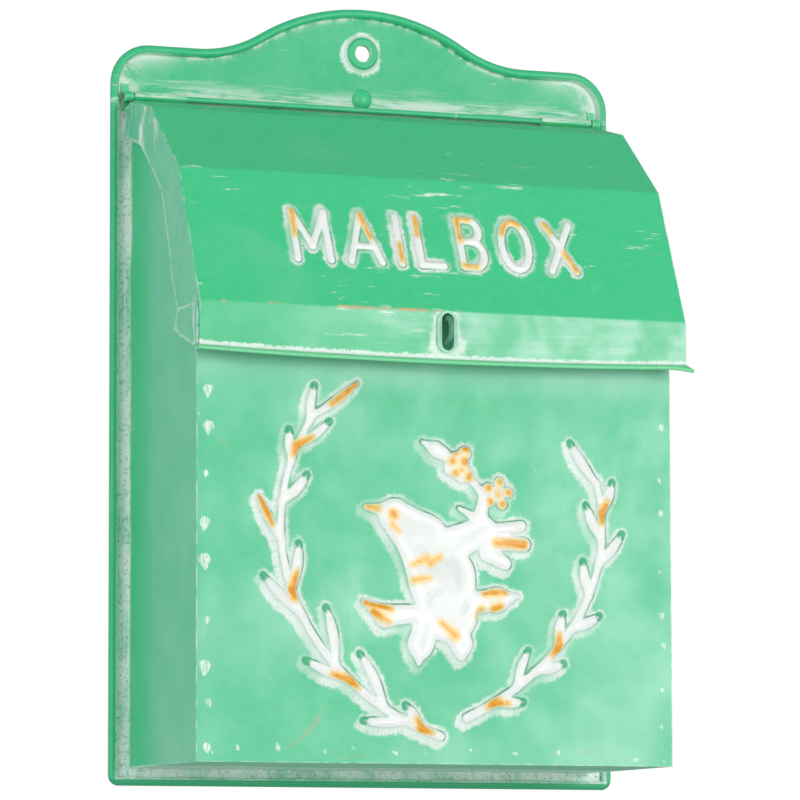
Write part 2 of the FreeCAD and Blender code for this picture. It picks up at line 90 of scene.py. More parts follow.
CREASE_1 = (40.4 * MM, -39.8 * MM)
CREASE_2 = (82.4 * MM, -75.0 * MM)
BAND_TOP = (112.6 * MM, -142.7 * MM)
BAND_LOW = (112.6 * MM, -162.9 * MM)
KNUCKLE_R = 2.36 * MM
KNUCKLE_WRAP = 270.0
KNUCKLE_X = (95.0 * MM, 122.6 * MM)
EDGE_SETBACK = 9.0 * MM
SLOT_Z = -152.8 * MM
SLOT_HALF_H = 9.95 * MM
SLOT_HALF_W = 4.1 * MM
SLOT_STRAIGHT = SLOT_HALF_H - SLOT_HALF_W
WORD_HALF_W = 74.0 * MM
WORD_SLOPE = (20.5 * MM, 50.5 * MM)
STROKE_R = 1.7 * MM
SMOOTH_ANGLE = math.radians(35.0)
KEEP_OFF = -30.0                        # field value far outside every stroke


def measure(name, description, value, low, high):
    return bpy.props.FloatProperty(
        name=name, description=description, default=value, min=low, max=high, precision=5, unit="LENGTH")


def tilt(name, description, degrees):
    return bpy.props.FloatProperty(
        name=name, description=description, default=math.radians(degrees), unit="ROTATION")


def amount(name, description, value, least=0.0):
    return bpy.props.FloatProperty(name=name, description=description, default=value, min=least)


def colour(name, description, value):
    return bpy.props.FloatVectorProperty(
        name=name, description=description, subtype="COLOR", size=3, min=0.0, max=1.0, default=value)


class MailboxSizes(bpy.types.PropertyGroup):
    """Sizes of the pressed sheets."""

    sheet: measure("Sheet thickness", "Gauge of the steel sheet", 0.8 * MM, 0.2 * MM, 2 * MM)
    relief: measure("Relief height", "How far the pressed decoration stands out", 1.45 * MM, 0.0, 3 * MM)
    step: measure("Mesh step", "Spacing of the grid that carries the relief", 1.12 * MM, 0.6 * MM, 6 * MM)
    bend: measure("Bend radius", "Outer radius of the sheet's folds", 1.8 * MM, 0.9 * MM, 5 * MM)
    waviness: measure("Waviness", "Depth of the soft dents in the sheets", 0.35 * MM, 0.0, 2 * MM)


class MailboxColours(bpy.types.PropertyGroup):
    """Linear colours of the paint layers."""

    green: colour("Green", "Main coat of the lid", (0.046, 0.61, 0.262))
    plate: colour("Plate green", "Main coat of the back plate", (0.026, 0.535, 0.228))
    tip: colour("Tip green", "Touches on the leaf tips", (0.034, 0.44, 0.205))
    panel: colour("Panel green", "Main coat of the front panel", (0.07, 0.56, 0.285))
    # Mint also serves as painted reflection in the front panel's clouds.
    mint: colour("Rubbed mint", "Where the coat is rubbed thin", (0.265, 0.69, 0.47))
    side: colour("Side green", "Main coat of the sides and cheeks", (0.105, 0.6, 0.34))
    # Deep green used as painted shade: it darkens the plate's lower bead and lines the relief's far edge,
    # where it also stands for an unpainted gap.
    shade: colour("Deep green", "Paint that has pooled in folds", (0.012, 0.26, 0.11))
    white: colour("Dry-brush white", "White of the relief and of the wear", (0.945, 0.97, 0.96))
    orange: colour("Orange", "Touches on the relief", (0.84, 0.33, 0.009))
    amber: colour("Amber", "Thin orange at the edge of a touch", (0.94, 0.61, 0.085))
    steel: colour("Steel", "Plain wire and plate", (0.28, 0.3, 0.29))


class MailboxStage(bpy.types.PropertyGroup):
    """Camera and studio light."""

    azimuth: tilt("Azimuth", "Camera's turn round the mailbox, negative to the left", -21.74)
    elevation: tilt("Elevation", "Camera's height angle, negative below", -6.05)
    roll: tilt("Roll", "Camera's roll", -0.15)
    distance: measure("Distance", "From the camera to its aim", 2.4927, 0.5, 20.0)
    lens: amount("Lens", "Focal length in millimetres", 229.5, 20.0)
    key_power: amount("Key light", "Power of the large front light in watts", 19.2)
    fill_power: amount("Fill light", "Power of the left light in watts", 14.0)
    sky: amount("Surround", "Strength of the white surround's light", 0.95)


def sizes():
    return bpy.context.scene.mailbox_sizes


def colours():
    return bpy.context.scene.mailbox_colours


# -------------------------------- distance fields

WAVES = 7


def stroke_field(u, v, stroke):
    """Signed distance, positive inside, to a round stroke that tapers from r0 to r1."""
    x0, y0, r0, x1, y1, r1 = stroke
    dx, dy = x1 - x0, y1 - y0
    share = ((u - x0) * dx + (v - y0) * dy) / max(dx * dx + dy * dy, 1e-12)
    share = np.clip(share, 0.0, 1.0)
    return (r0 + (r1 - r0) * share) - np.hypot(u - x0 - dx * share, v - y0 - dy * share)


def union_field(u, v, shapes, soft):
    """Union of strokes and of chains of strokes, joined softly over the length soft."""
    field = np.full_like(u, -100.0)
    for shape in shapes:
        chain = shape if isinstance(shape, list) else [shape]
        near = np.max([stroke_field(u, v, stroke) for stroke in chain], axis=0)
        gap = np.clip(0.5 + 0.5 * (near - field) / soft, 0.0, 1.0)
        field = field * (1 - gap) + near * gap + soft * gap * (1 - gap)
    return field


def smooth_step(value, low, high):
    t = np.clip((value - low) / (high - low), 0.0, 1.0)
    return t * t * (3 - 2 * t)


def soft_waves(u, v, seed, longest=0.16, shortest=0.05):
    """A few slow sine waves added up, between about -1 and 1."""
    rng = random.Random(seed)
    total = np.zeros_like(u)
    for _ in range(WAVES):
        length = rng.uniform(shortest, longest)
        turn = rng.uniform(0, math.tau)
        phase = rng.uniform(0, math.tau)
        along = u * math.cos(turn) + v * math.sin(turn)
        total += np.sin(along * math.tau / length + phase) * length / longest
    return total / (WAVES * 0.5)


# -------------------------------- the pressed decoration
# Strokes are (x0, z0, r0, x1, z1, r1) in millimetres from the hanging hole's axis.

def run(*spots):
    """Strokes from each (x, z, radius) to the next."""
    return [(*a, *b) for a, b in zip(spots, spots[1:])]


def dot(x, z, r):
    return x, z, r, x, z, r


LAUREL = (
    # centre and half sizes of the stem's oval, its span in degrees, then the leaves from the foot up:
    # where they root on the stem, their lengths, their spreads (outer, inner), the leaves with an
    # orange touch where they fork from the stem, and the leaves with an orange tip
    {"centre": (45, -246), "half": (-125, 106), "span": (-69.5, 29.5), "inner_first": True,
     "roots": (0.05, 0.09, 0.15, 0.26, 0.31, 0.46, 0.53, 0.66, 0.76, 0.87, 0.91, 0.98, 1),
     "lengths": (14, 22, 29, 24, 28, 27, 22.5, 24, 18.5, 15, 21, 18, 28),
     "spread": (22, 36), "forks": (1, 4, 7, 11), "gilded": (8, 13)},
    {"centre": (-66, -243), "half": (152, 110), "span": (-58, 11), "inner_first": False,
     "roots": (0.1, 0.18, 0.26, 0.37, 0.45, 0.585, 0.7, 0.79, 0.89, 1),
     "lengths": (15, 19.5, 16, 17, 16.5, 17, 20, 19, 16.5, 24),
     "spread": (30, 36), "forks": (1, 4, 9), "gilded": ()},
)
STEM_R = 1.55


def leaf_strokes(x, z, heading, turn, length, width):
    """A slim leaf that grows out of the stem, fullest in the middle, blunt at the tip."""
    spots, pieces = [(x, z)], 5
    for i in range(pieces):
        way = heading + turn * (i + 0.5) / pieces
        x += math.cos(way) * length / pieces
        z += math.sin(way) * length / pieces
        spots.append((x, z))
    radii = [STEM_R * 0.9, width * 0.72, width * 0.94, width, width * 0.78, width * 0.36]
    return run(*((*spot, r) for spot, r in zip(spots, radii))), spots


def laurel_branch(branch, seed):
    """Strokes of one branch, and the orange touches and bare tips that go with it."""
    rng = random.Random(seed)
    (cx, cz), (half_w, half_h) = branch["centre"], branch["half"]
    start, end = branch["span"]
    count = len(branch["roots"])

    def on_stem(share):
        angle = math.radians(start + (end - start) * share)
        return cx + half_w * math.cos(angle), cz + half_h * math.sin(angle)

    fine, stem = count * 4, []
    for i in range(fine):
        a, b = on_stem(i / fine), on_stem((i + 1) / fine)
        taper = STEM_R * (1.3 - 0.4 * i / fine)
        stem.append((*a, taper, *b, taper))
    white, orange, bare = [stem], [], []
    inward = 1 if half_w < 0 else -1
    for i, (root, length) in enumerate(zip(branch["roots"], branch["lengths"]), 1):
        here, before = on_stem(root), on_stem(root - 0.02)
        along = math.atan2(here[1] - before[1], here[0] - before[0])
        inner = (i % 2 == 1) == branch["inner_first"]
        side = inward if inner else -inward
        last = i == count
        spread = math.radians(branch["spread"][inner] + rng.uniform(-4, 5)) * (0.7 if last else 1.0)
        strokes, spots = leaf_strokes(
            *here, along - side * spread * 1.2, side * spread * 0.55, length, rng.uniform(2.1, 2.6))
        white.append(strokes)
        if i in branch["forks"]:
            below = (here[0] - math.cos(along) * 4.5, here[1] - math.sin(along) * 4.5)
            orange.append(run((*below, 1.4), (*here, 2.8), (*spots[2], 1.0)))
        if i in branch["gilded"]:
            orange.append((*spots[2], 1.4, *spots[5], 2.2))
        else:
            bare.append(dot(*spots[5], 2.4))
    return white, orange, bare


BIRD = (
    *run((-22, -240.5, 8.3), (-8, -252, 13), (2, -270, 17), (6, -286, 14.5)),
    (-26, -238, 3.6, -37, -236.6, 1.2), (2, -256, 9, 24, -246, 6.5), (21, -246, 4.6, 23.5, -232, 2.6),
    (26, -247, 3.6, 43.5, -243.6, 2.4), (27, -251.5, 4, 45, -252.6, 3.2), (26, -257, 4.4, 35, -262, 3),
    (19, -240, 2, 11, -236, 1),
    *run((-12, -287, 4.2), (-27, -288.4, 5.2), (-38.5, -281.6, 0.9)),
    *run((-6, -292, 6.6), (-9, -302, 6.4), (-10, -311, 1)),
    *run((8, -292, 7), (12, -301, 5.4), (12, -306.5, 2.6)),
    *run((19, -281, 5), (31, -279.5, 5.6), (41.5, -277.6, 0.9)),
)
SPRIG = (
    (14.5, -218.5, 1.7, 24, -230, 1.9),
    *run((3, -210, 3.2), (-1, -208, 3.4), (-8, -204.6, 0.8)),
    (9.5, -214.5, 5.2, 13, -219, 4.6), (14, -209.5, 3.2, 6.5, -217, 3.2),
)
BERRIES = ((14.5, -207, 2.5), (9, -209, 1.9), (13.6, -213.6, 2.6), (7.4, -213.6, 1.9),
           (9, -218.8, 1.8), (15.6, -220.4, 2.2), (12, -217.8, 1.4))
BLOOM = (31, -228.5, 3.6, 5.6, 2.5)      # x, z, heart radius, petal ring, petal radius
BLOOM_PETALS = 5
BIRD_ORANGE = (
    (-23.6, -239.8, 2.4, -23.2, -240.2, 2.4), (-24, -244.5, 1, -21, -248, 0.8),
    (-31, -237.2, 1.4, -36.5, -236.6, 0.9), (-13.5, -263.5, 1, -6, -260.4, 1.4),
    (-4.5, -263, 1.5, 0.5, -259.4, 1.1), (-12.5, -271, 1.6, -5, -269.8, 0.9),
    (-37.5, -282.4, 1.8, -25, -285, 1.6), (-33, -286.6, 2.2, -26, -291, 1.2), (1, -291, 1.2, 8, -297, 2.2),
    (24, -276.8, 1.6, 34, -276, 1.7), (29, -283.6, 2.2, 31.5, -282.6, 1.8),
    (29, -252, 1.6, 44, -252.6, 2.2), (22, -284, 1.4, 20, -288, 1),
)
LINE_R = 0.5
FINE_LINES = [(x0, z0, LINE_R, x1, z1, LINE_R) for x0, z0, x1, z1 in (
    (-4, -266, 4, -262), (4, -262, 9, -266), (9, -266, 10, -274), (-7, -284, -5, -278),
    (-5, -278, 1, -276), (12, -286, 16, -279), (16, -262, 22, -256), (-12, -255, -7, -257),
    (31, -247.6, 41, -247.8), (31, -257, 38, -258),
)]
SCUFFS = (
    *run((-77.5, -352.5, 0.3), (-69, -346.5, 0.9), (-61.5, -338.5, 1), (-58.5, -331, 0.2)),
    (-52, -356.4, 0.3, -37, -355, 0.4), (70, -352.5, 0.3, 84, -351.5, 0.4),
    (-112, -205, 0.3, -106, -212, 0.4),
)


def decoration():
    """All strokes on the front panel, by paint layer."""
    white, orange, bare = [*BIRD, *SPRIG], [*BIRD_ORANGE], []
    for seed, branch in enumerate(LAUREL, 11):
        for layer, more in zip((white, orange, bare), laurel_branch(branch, seed)):
            layer += more
    x, z, heart, ring, petal = BLOOM
    white.append(dot(x, z, heart))
    orange.append(dot(x, z, 1.3))
    for i in range(BLOOM_PETALS):
        angle = math.radians(80 + 360 * i / BLOOM_PETALS)
        px, pz = x + ring * math.cos(angle), z + ring * math.sin(angle)
        white.append(dot(px, pz, petal))
        orange.append(dot(px, pz, petal * 0.7))
    orange += [dot(*berry) for berry in BERRIES]
    return white, orange, bare


# -------------------------------- the raised word

def arc(cx, cy, rx, ry, start, end, steps=10):
    points = []
    for i in range(steps + 1):
        angle = math.radians(start + (end - start) * i / steps)
        points.append((cx + rx * math.cos(angle), cy + ry * math.sin(angle)))
    return points


LETTERS = {
    "M": (17.0, [[(0, 0), (0.02, 1), (0.5, 0.28), (0.98, 1), (1, 0)]], [[(0.02, 1), (0.01, 0.5)]]),
    "A": (16.0, [[(0, 0), (0.5, 1), (1, 0)], [(0.2, 0.33), (0.8, 0.33)]], [[(0.5, 1), (0.72, 0.5)]]),
    "I": (0.0, [[(0, 0), (0, 1)]], [[(0, 0.05), (0, 0.4)]]),
    "L": (11.5, [[(0, 1), (0, 0), (1, 0)]], [[(0, 1), (0, 0.62)]]),
    "B": (11.5, [[(0, 0), (0, 1), (0.5, 1)] + arc(0.5, 0.77, 0.42, 0.23, 90, -90) + [(0, 0.54)],
                 [(0.5, 0.54)] + arc(0.55, 0.27, 0.45, 0.27, 90, -90) + [(0, 0)]],
          [[(0, 0.55), (0, 1), (0.5, 1)], [(0.55, 0), (0, 0)]]),
    "O": (14.0, [arc(0.5, 0.5, 0.5, 0.5, 0, 360, 20)], [arc(0.5, 0.5, 0.5, 0.5, 60, 150, 6)]),
    "X": (13.0, [[(0, 0), (1, 1)], [(0, 1), (1, 0)]], [[(0.62, 0.38), (1, 0)], [(0, 1), (0.2, 0.8)]]),
}
WORD = "MAILBOX"


def word_strokes():
    """Strokes of the word, laid flat: x across the lid, y up its slope, in millimetres."""
    stroke = STROKE_R / MM
    tall = (WORD_SLOPE[1] - WORD_SLOPE[0]) / MM - 2 * stroke
    room = 2 * WORD_HALF_W / MM - 2 * stroke
    gap = (room - sum(LETTERS[c][0] for c in WORD)) / (len(WORD) - 1)
    x = -WORD_HALF_W / MM + stroke
    white, orange = [], []
    for letter in WORD:
        width, lines, touches = LETTERS[letter]
        for target, radius, source in ((white, stroke, lines), (orange, stroke * 0.72, touches)):
            for line in source:
                target += run(*((x + px * width, py * tall, radius) for px, py in line))
        x += width + gap
    return white, orange


# -------------------------------- folded sheets

def rounded_path(corners, radii, steps=6):
    """A (depth, z) line through corners, each inner corner rounded by its radius."""
    points = [Vector(corners[0])]
    for before, corner, after, radius in zip(corners, corners[1:], corners[2:], radii):
        corner = Vector(corner)
        back = (Vector(before) - corner).normalized()
        ahead = (Vector(after) - corner).normalized()
        half = back.angle(ahead) / 2
        reach = radius / math.tan(half)
        centre = corner + (back + ahead).normalized() * radius / math.sin(half)
        first = corner + back * reach - centre
        last = corner + ahead * reach - centre
        for i in range(steps + 1):
            swing = first.lerp(last, i / steps).normalized() * radius
            points.append(centre + swing)
    points.append(Vector(corners[-1]))
    return points


def select_none():
    bpy.ops.object.select_all(action="DESELECT")


def select_only(obj):
    select_none()
    obj.select_set(True)
    bpy.context.view_layer.objects.active = obj


def edit(obj):
    select_only(obj)
    bpy.ops.object.mode_set(mode="EDIT")


def rows_along(path, pitches):
    """Stations down the path: in each stretch (end length, pitch) they are pitch apart."""
    stations = [0.0]
    for end, pitch in pitches:
        start = stations[-1]
        count = max(1, round((end - start) / pitch))
        stations += [start + (end - start) * (i + 1) / count for i in range(count)]
    return np.array(stations)


def path_tables(path):
    points = np.array([tuple(p) for p in path])
    steps = np.hypot(*np.diff(points, axis=0).T)
    length = np.concatenate([[0.0], np.cumsum(steps)])
    return points, length


def corners_of(sheet):
    flat = np.empty(len(sheet.data.vertices) * 3)
    sheet.data.vertices.foreach_get("co", flat)
    return flat.reshape(-1, 3)


def bent_grid(name, path, stations, columns, half_width):
    """A fine grid laid along a folded (depth, z) path and straight across x."""
    points, length = path_tables(path)
    rows = len(stations)
    select_none()
    bpy.ops.mesh.primitive_grid_add(x_subdivisions=columns, y_subdivisions=rows - 1, size=2.0)
    sheet = bpy.context.object
    sheet.name = sheet.data.name = name
    flat = corners_of(sheet)
    row = np.rint((flat[:, 1] + 1) / 2 * (rows - 1)).astype(int)
    s = stations[row]
    depth = np.interp(s, length, points[:, 0])
    z = np.interp(s, length, points[:, 1])
    tiny = 0.1 * MM
    run = np.interp(s + tiny, length, points[:, 0]) - np.interp(s - tiny, length, points[:, 0])
    fall = np.interp(s + tiny, length, points[:, 1]) - np.interp(s - tiny, length, points[:, 1])
    size = np.maximum(np.hypot(run, fall), 1e-9)
    out = np.stack([-fall / size, run / size], axis=1)
    return sheet, {"x": flat[:, 0] * half_width, "s": s, "depth": depth, "z": z, "out": out}


def place(sheet, grid, lift):
    """Moves the grid's points on to the path, raised along its normal by lift."""
    co = np.stack([
        grid["x"],
        -(grid["depth"] + grid["out"][:, 0] * lift),
        grid["z"] + grid["out"][:, 1] * lift], axis=1)
    sheet.data.vertices.foreach_set("co", co.ravel())
    sheet.data.update()


def add_fields(sheet, fields):
    """Stores a value per vertex for each name, in millimetres, for the material to read."""
    for name, values in fields.items():
        layer = sheet.data.attributes.new(name, "FLOAT", "POINT")
        layer.data.foreach_set("value", np.asarray(values, dtype=np.float32))


def face_outwards(sheet, outward):
    """Turns the sheet over if its faces look away from the outward direction."""
    middle = max(sheet.data.polygons, key=lambda face: face.area)
    if middle.normal.dot(Vector(outward)) < 0:
        edit(sheet)
        bpy.ops.mesh.select_all(action="SELECT")
        bpy.ops.mesh.flip_normals()
        bpy.ops.object.mode_set(mode="OBJECT")


def thicken(sheet, thickness, decoration):
    """Gives the sheet its gauge, inwards, and keeps the decoration's fields off its inner face."""
    before = corners_of(sheet)
    count = len(before)
    select_only(sheet)
    wall = sheet.modifiers.new("Gauge", "SOLIDIFY")
    wall.thickness = thickness
    wall.offset = -1.0
    wall.use_quality_normals = True
    bpy.ops.object.modifier_apply(modifier=wall.name)
    after = corners_of(sheet)
    moved = [np.abs(half - before).max() for half in (after[:count], after[count:2 * count])]
    first = count if moved[1] > moved[0] else 0
    for name in decoration:
        layer = sheet.data.attributes[name]
        values = np.empty(len(after), dtype=np.float32)
        layer.data.foreach_get("value", values)
        values[first:first + count] = KEEP_OFF
        layer.data.foreach_set("value", values)
    bpy.ops.object.shade_smooth_by_angle(angle=SMOOTH_ANGLE)


def remove_faces(sheet, test):
    """Deletes the faces whose centre passes the test."""
    edit(sheet)
    bpy.ops.mesh.select_all(action="DESELECT")
    bpy.ops.mesh.select_mode(type="FACE")
    bpy.ops.object.mode_set(mode="OBJECT")
    for face in sheet.data.polygons:
        face.select = test(face.center)
    bpy.ops.object.mode_set(mode="EDIT")
    bpy.ops.mesh.delete(type="FACE")
    bpy.ops.mesh.select_mode(type="VERT")
    bpy.ops.object.mode_set(mode="OBJECT")


def wear(piece, material, slot, body, *nodes):
    """Gives a piece its material and its body, and hides the CAD nodes it stands for. The slot argument is
    not used.
    """
    piece.data.materials.clear()
    piece.data.materials.append(material)
    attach(piece, body)
    if nodes:
        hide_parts(*nodes)


# -------------------------------- front panel

HEM_DEPTH = -PANEL_BOX[1][1]
HEM_DROP = 8.0 * MM
HEM_BEND = 1.0 * MM
BERRY_LIFT = 0.35


def panel_path(front):
    corners = [(HEM_DEPTH, PANEL_TOP - HEM_DROP), (HEM_DEPTH, PANEL_TOP),
               (front, PANEL_TOP), (front, PANEL_LOW)]
    return rounded_path(corners, (HEM_BEND, HEM_BEND))


def edge_dabs(u, v, seed):
    """Distance field of the small white dabs beside the panel's welded edges."""
    rng = random.Random(seed)
    half = PANEL_HALF_W / MM
    top, low = PANEL_TOP / MM - 35, PANEL_LOW / MM
    dabs = []
    for side in (-1, 1):
        z = top
        while z > low + 6:
            z -= rng.uniform(14, 30)
            x = side * (half - rng.uniform(4.0, 6.5))
            size = rng.uniform(1.8, 3.5) if side < 0 else rng.uniform(0.7, 1.9)
            dabs.append((x, z, size, x + rng.uniform(-1, 1), z - size * 1.2, size * 0.3))
    x = -half + 8
    while x < half - 6:
        z = low + rng.uniform(3.0, 7.0)
        size = rng.uniform(0.6, 1.5)
        dabs.append((x, z, size, x + rng.uniform(-2, 2), z + rng.uniform(0, 3), size * 0.5))
        x += rng.uniform(12, 24)
    return union_field(u, v, dabs, 0.6)


def front_relief():
    """Front panel: hemmed sheet with the pressed laurel, bird and sprig."""
    size = sizes()
    front = -PANEL_BOX[0][1] - 1.5 * MM
    path = panel_path(front)
    _, length = path_tables(path)
    total = length[-1]
    hem = HEM_DROP + (front - HEM_DEPTH) + 2 * MM
    stations = rows_along(path, ((hem, 0.7 * MM), (total, size.step)))
    columns = round(2 * PANEL_HALF_W / size.step)
    sheet, grid = bent_grid("front_panel_relief", path, stations, columns, PANEL_HALF_W)
    u, v = grid["x"] / MM, grid["z"] / MM
    white, orange, bare = decoration()
    relief = union_field(u, v, white, 1.8)
    on_front = smooth_step(grid["s"], hem, hem + 12 * MM)
    edge = np.minimum(PANEL_HALF_W - np.abs(grid["x"]), grid["z"] - PANEL_LOW)
    flat_edge = smooth_step(edge, 1.5 * MM, 16 * MM)
    crown = smooth_step(relief, -0.7, 2.4)
    lines = union_field(u, v, FINE_LINES, 0.4)
    berries = union_field(u, v, [dot(*berry) for berry in BERRIES], 0.3)
    crown += BERRY_LIFT * smooth_step(berries, -0.4, 1.2)
    crown -= 0.3 * smooth_step(lines, -0.9, 0.4) * smooth_step(relief, 0.0, 2.0)
    crown = np.minimum(crown, 1.0)
    dents = soft_waves(grid["x"], grid["z"], 5)
    sunk = -0.35 * smooth_step(relief, -9.0, 0.0) * (1 - crown)
    lift = (crown + sunk * 0.5) * size.relief + (dents - 1.0) * size.waviness * (1 - crown)
    place(sheet, grid, lift * on_front * flat_edge)
    fields = {
        "relief": relief, "smear": union_field(u + 1.6, v + 2.0, white, 1.8),
        "touch": union_field(u, v, orange, 0.8), "bare": union_field(u, v, bare, 0.5),
        "dab": edge_dabs(u, v, 21), "scuff": union_field(u, v, SCUFFS, 0.4)}
    add_fields(sheet, fields)
    face_outwards(sheet, (0, -1, 0))
    thicken(sheet, size.sheet, fields)
    wear(sheet, relief_paint(), "front_paint", "box", "front_panel")


# -------------------------------- lid

CURL_STEPS = 24
LIP_DROP = 1.4 * MM
LIP_BENDS = (1.2 * MM, 0.95 * MM, 0.85 * MM)
DROOP_FROM = 112 * MM                   # the lip's right end hangs a little beyond this


def lid_path():
    """Upper face of the lid: knuckle curl, three facets, band and hemmed lip."""
    dx, dz = CREASE_1[0] - HINGE_DEPTH, CREASE_1[1] - HINGE_Z
    inner = KNUCKLE_R - sizes().sheet
    leave = math.atan2(dz, dx) - math.acos(inner / math.hypot(dx, dz))
    wrap = math.radians(KNUCKLE_WRAP)
    curl = []
    for i in range(CURL_STEPS + 1):
        angle = leave - wrap * (1 - i / CURL_STEPS)
        curl.append((HINGE_DEPTH + inner * math.cos(angle), HINGE_Z + inner * math.sin(angle)))
    start = curl.pop()
    corners = [start, CREASE_1, CREASE_2, BAND_TOP, BAND_LOW, (LIP_NOSE, BAND_LOW[1] - LIP_DROP),
               (LIP_NOSE, LIP_LOW), (BAND_LOW[0] - 0.6 * MM, LIP_LOW + 1.1 * MM)]
    faces = rounded_path(corners, (sizes().bend,) * 3 + LIP_BENDS)
    return [Vector(p) for p in curl] + faces


def slot_distance(x, z):
    """Signed distance to the oval slot's outline, negative inside."""
    return math.hypot(x, max(abs(z - SLOT_Z) - SLOT_STRAIGHT, 0.0)) - SLOT_HALF_W


def snap_slot(sheet):
    """Pulls the ragged rim of the slot's opening on to a clean oval."""
    counts = {}
    for face in sheet.data.polygons:
        for key in face.edge_keys:
            counts[key] = counts.get(key, 0) + 1
    rim = {v for key, count in counts.items() if count == 1 for v in key}
    for index in rim:
        co = sheet.data.vertices[index].co
        if abs(slot_distance(co.x, co.z)) < 3 * MM and co.z < BAND_TOP[1] and co.z > BAND_LOW[1] + 0.4 * MM:
            centre = SLOT_Z + max(-SLOT_STRAIGHT, min(SLOT_STRAIGHT, co.z - SLOT_Z))
            away = Vector((co.x, co.z - centre))
            if away.length > 1e-6:
                away = away.normalized() * SLOT_HALF_W
                co.x, co.z = away.x, centre + away.y


def lid_marks(points, length):
    """How far down the lid's path its four folds lie, from the first crease to the lip."""
    marks = []
    for corner in (CREASE_1, CREASE_2, BAND_TOP, BAND_LOW):
        away = np.hypot(points[CURL_STEPS:, 0] - corner[0], points[CURL_STEPS:, 1] - corner[1])
        marks.append(length[CURL_STEPS + np.argmin(away)])
    return marks


def lid_shell():
    """Lid: knuckles, folded facets, raised word, slotted band and rolled lip."""
    size = sizes()
    path = lid_path()
    points, length = path_tables(path)
    curl, end = length[CURL_STEPS], length[-1]
    setback = curl + EDGE_SETBACK
    marks = lid_marks(points, length)
    turn, tight, coarse = 3.2 * MM, 0.55 * MM, 2.6 * MM
    pitches = [(curl, tight), (setback, 1.5 * MM)]
    for mark, pitch in zip(marks, (coarse, coarse, size.step, size.step)):
        pitches += [(mark - turn, pitch), (mark + turn, tight)]
    pitches[-1] = (end, tight * 0.8)
    columns = round(2 * LID_HALF_W / size.step)
    sheet, grid = bent_grid("lid_shell", path, rows_along(path, pitches), columns, LID_HALF_W)
    x, s = grid["x"], grid["s"]
    slope = (s - marks[1]) / MM
    u, v = x / MM, (WORD_SLOPE[1] - STROKE_R) / MM - slope
    on_facet = smooth_step(slope, 6.0, 14.0) * smooth_step((marks[2] - s) / MM, 4.0, 12.0)
    white, orange = word_strokes()
    word, smear, touch = (
        np.where(on_facet > 0, field, KEEP_OFF) for field in (
            union_field(u, v, white, 0.9), union_field(u + 0.5, v - 0.6, white, 0.9),
            union_field(u, v, orange, 0.6)))
    crown = smooth_step(word, -0.8, 1.7)
    dents = soft_waves(x, s, 8, longest=0.2, shortest=0.08)
    creases = np.min([np.abs(s - mark) for mark in marks], axis=0)
    calm = smooth_step(creases, 2 * MM, 14 * MM) * smooth_step(s - setback, 0.0, 12 * MM)
    calm *= smooth_step(end - s, 12 * MM, 20 * MM)
    calm *= smooth_step(LID_HALF_W - np.abs(x), 1 * MM, 10 * MM)
    lift = crown * on_facet * size.relief + (dents - 1.0) * size.waviness * 0.8 * calm * (1 - crown)
    on_lip = smooth_step(s - marks[3], 0.5 * MM, 3 * MM)
    x = grid["x"] = x * (1 + on_lip * (LIP_HALF_W / LID_HALF_W - 1))
    sag = 0.5 * MM + 2.3 * MM * (1 - (x / LIP_HALF_W) ** 2)
    grid["z"] = grid["z"] - sag * smooth_step(s, marks[2] + 2 * MM, marks[3] - 1 * MM)
    droop = np.clip((x - DROOP_FROM) / (LIP_HALF_W - DROOP_FROM), 0, 1) ** 2
    grid["z"] = grid["z"] - on_lip * (droop * 1.6 * MM + 0.25 * MM * soft_waves(x, x * 0, 3))
    place(sheet, grid, lift)
    painted = {"relief": word, "smear": smear, "touch": touch, "bare": np.full_like(u, KEEP_OFF)}
    add_fields(sheet, painted)
    add_fields(sheet, {"curl": (curl - s) / MM, "crease": (s - marks[2]) / MM, "lip": (s - marks[3]) / MM})
    trim_lid(sheet, np.interp(setback, length, points[:, 0]))
    face_outwards(sheet, (0, -0.9, 0.4))
    snap_slot(sheet)
    thicken(sheet, size.sheet, painted)
    wear(sheet, lid_paint(), "lid_paint", "lid", "lid_sheet")


def trim_lid(sheet, edge_depth):
    """Leaves the curl only at the two knuckles, and opens the slot."""
    def spare(centre):
        behind = -centre.y < edge_depth and centre.z > BAND_TOP[1]
        knuckle = KNUCKLE_X[0] < abs(centre.x) < KNUCKLE_X[1]
        in_band = BAND_LOW[1] < centre.z < BAND_TOP[1] and slot_distance(centre.x, centre.z) < 0
        return behind and not knuckle or in_band
    remove_faces(sheet, spare)


# -------------------------------- paint

# Pale mint painted as light on the front panel: a highlight towards the right and a lightening of the shadow
# under the lid's lip.
PAINTED_LIGHT_MINT = (0.36, 0.78, 0.58)
PANEL_HALO = (0.72, 0.81, 0.76)
LID_HALO = (0.82, 0.87, 0.85)
COOL_WHITE = (0.91, 0.94, 0.94)
WASHED_WHITE = (0.78, 0.82, 0.79)
SCUFF_BROWN = (0.55, 0.33, 0.16)
BAND_GREEN = (0.04, 0.5, 0.23)
BAND_PALE = (0.43, 0.8, 0.6)
LIP_GREEN = (0.36, 0.82, 0.44)
RUST = (0.7, 0.4, 0.2)
STRIP_MINT = (0.44, 0.8, 0.64)
STRIP_WHITE = (0.86, 0.97, 0.93)
STRIP_SPECK = (0.06, 0.18, 0.12)
STAPLE_GREEN = (0.09, 0.27, 0.18)
OILED_STEEL = (0.16, 0.15, 0.13)


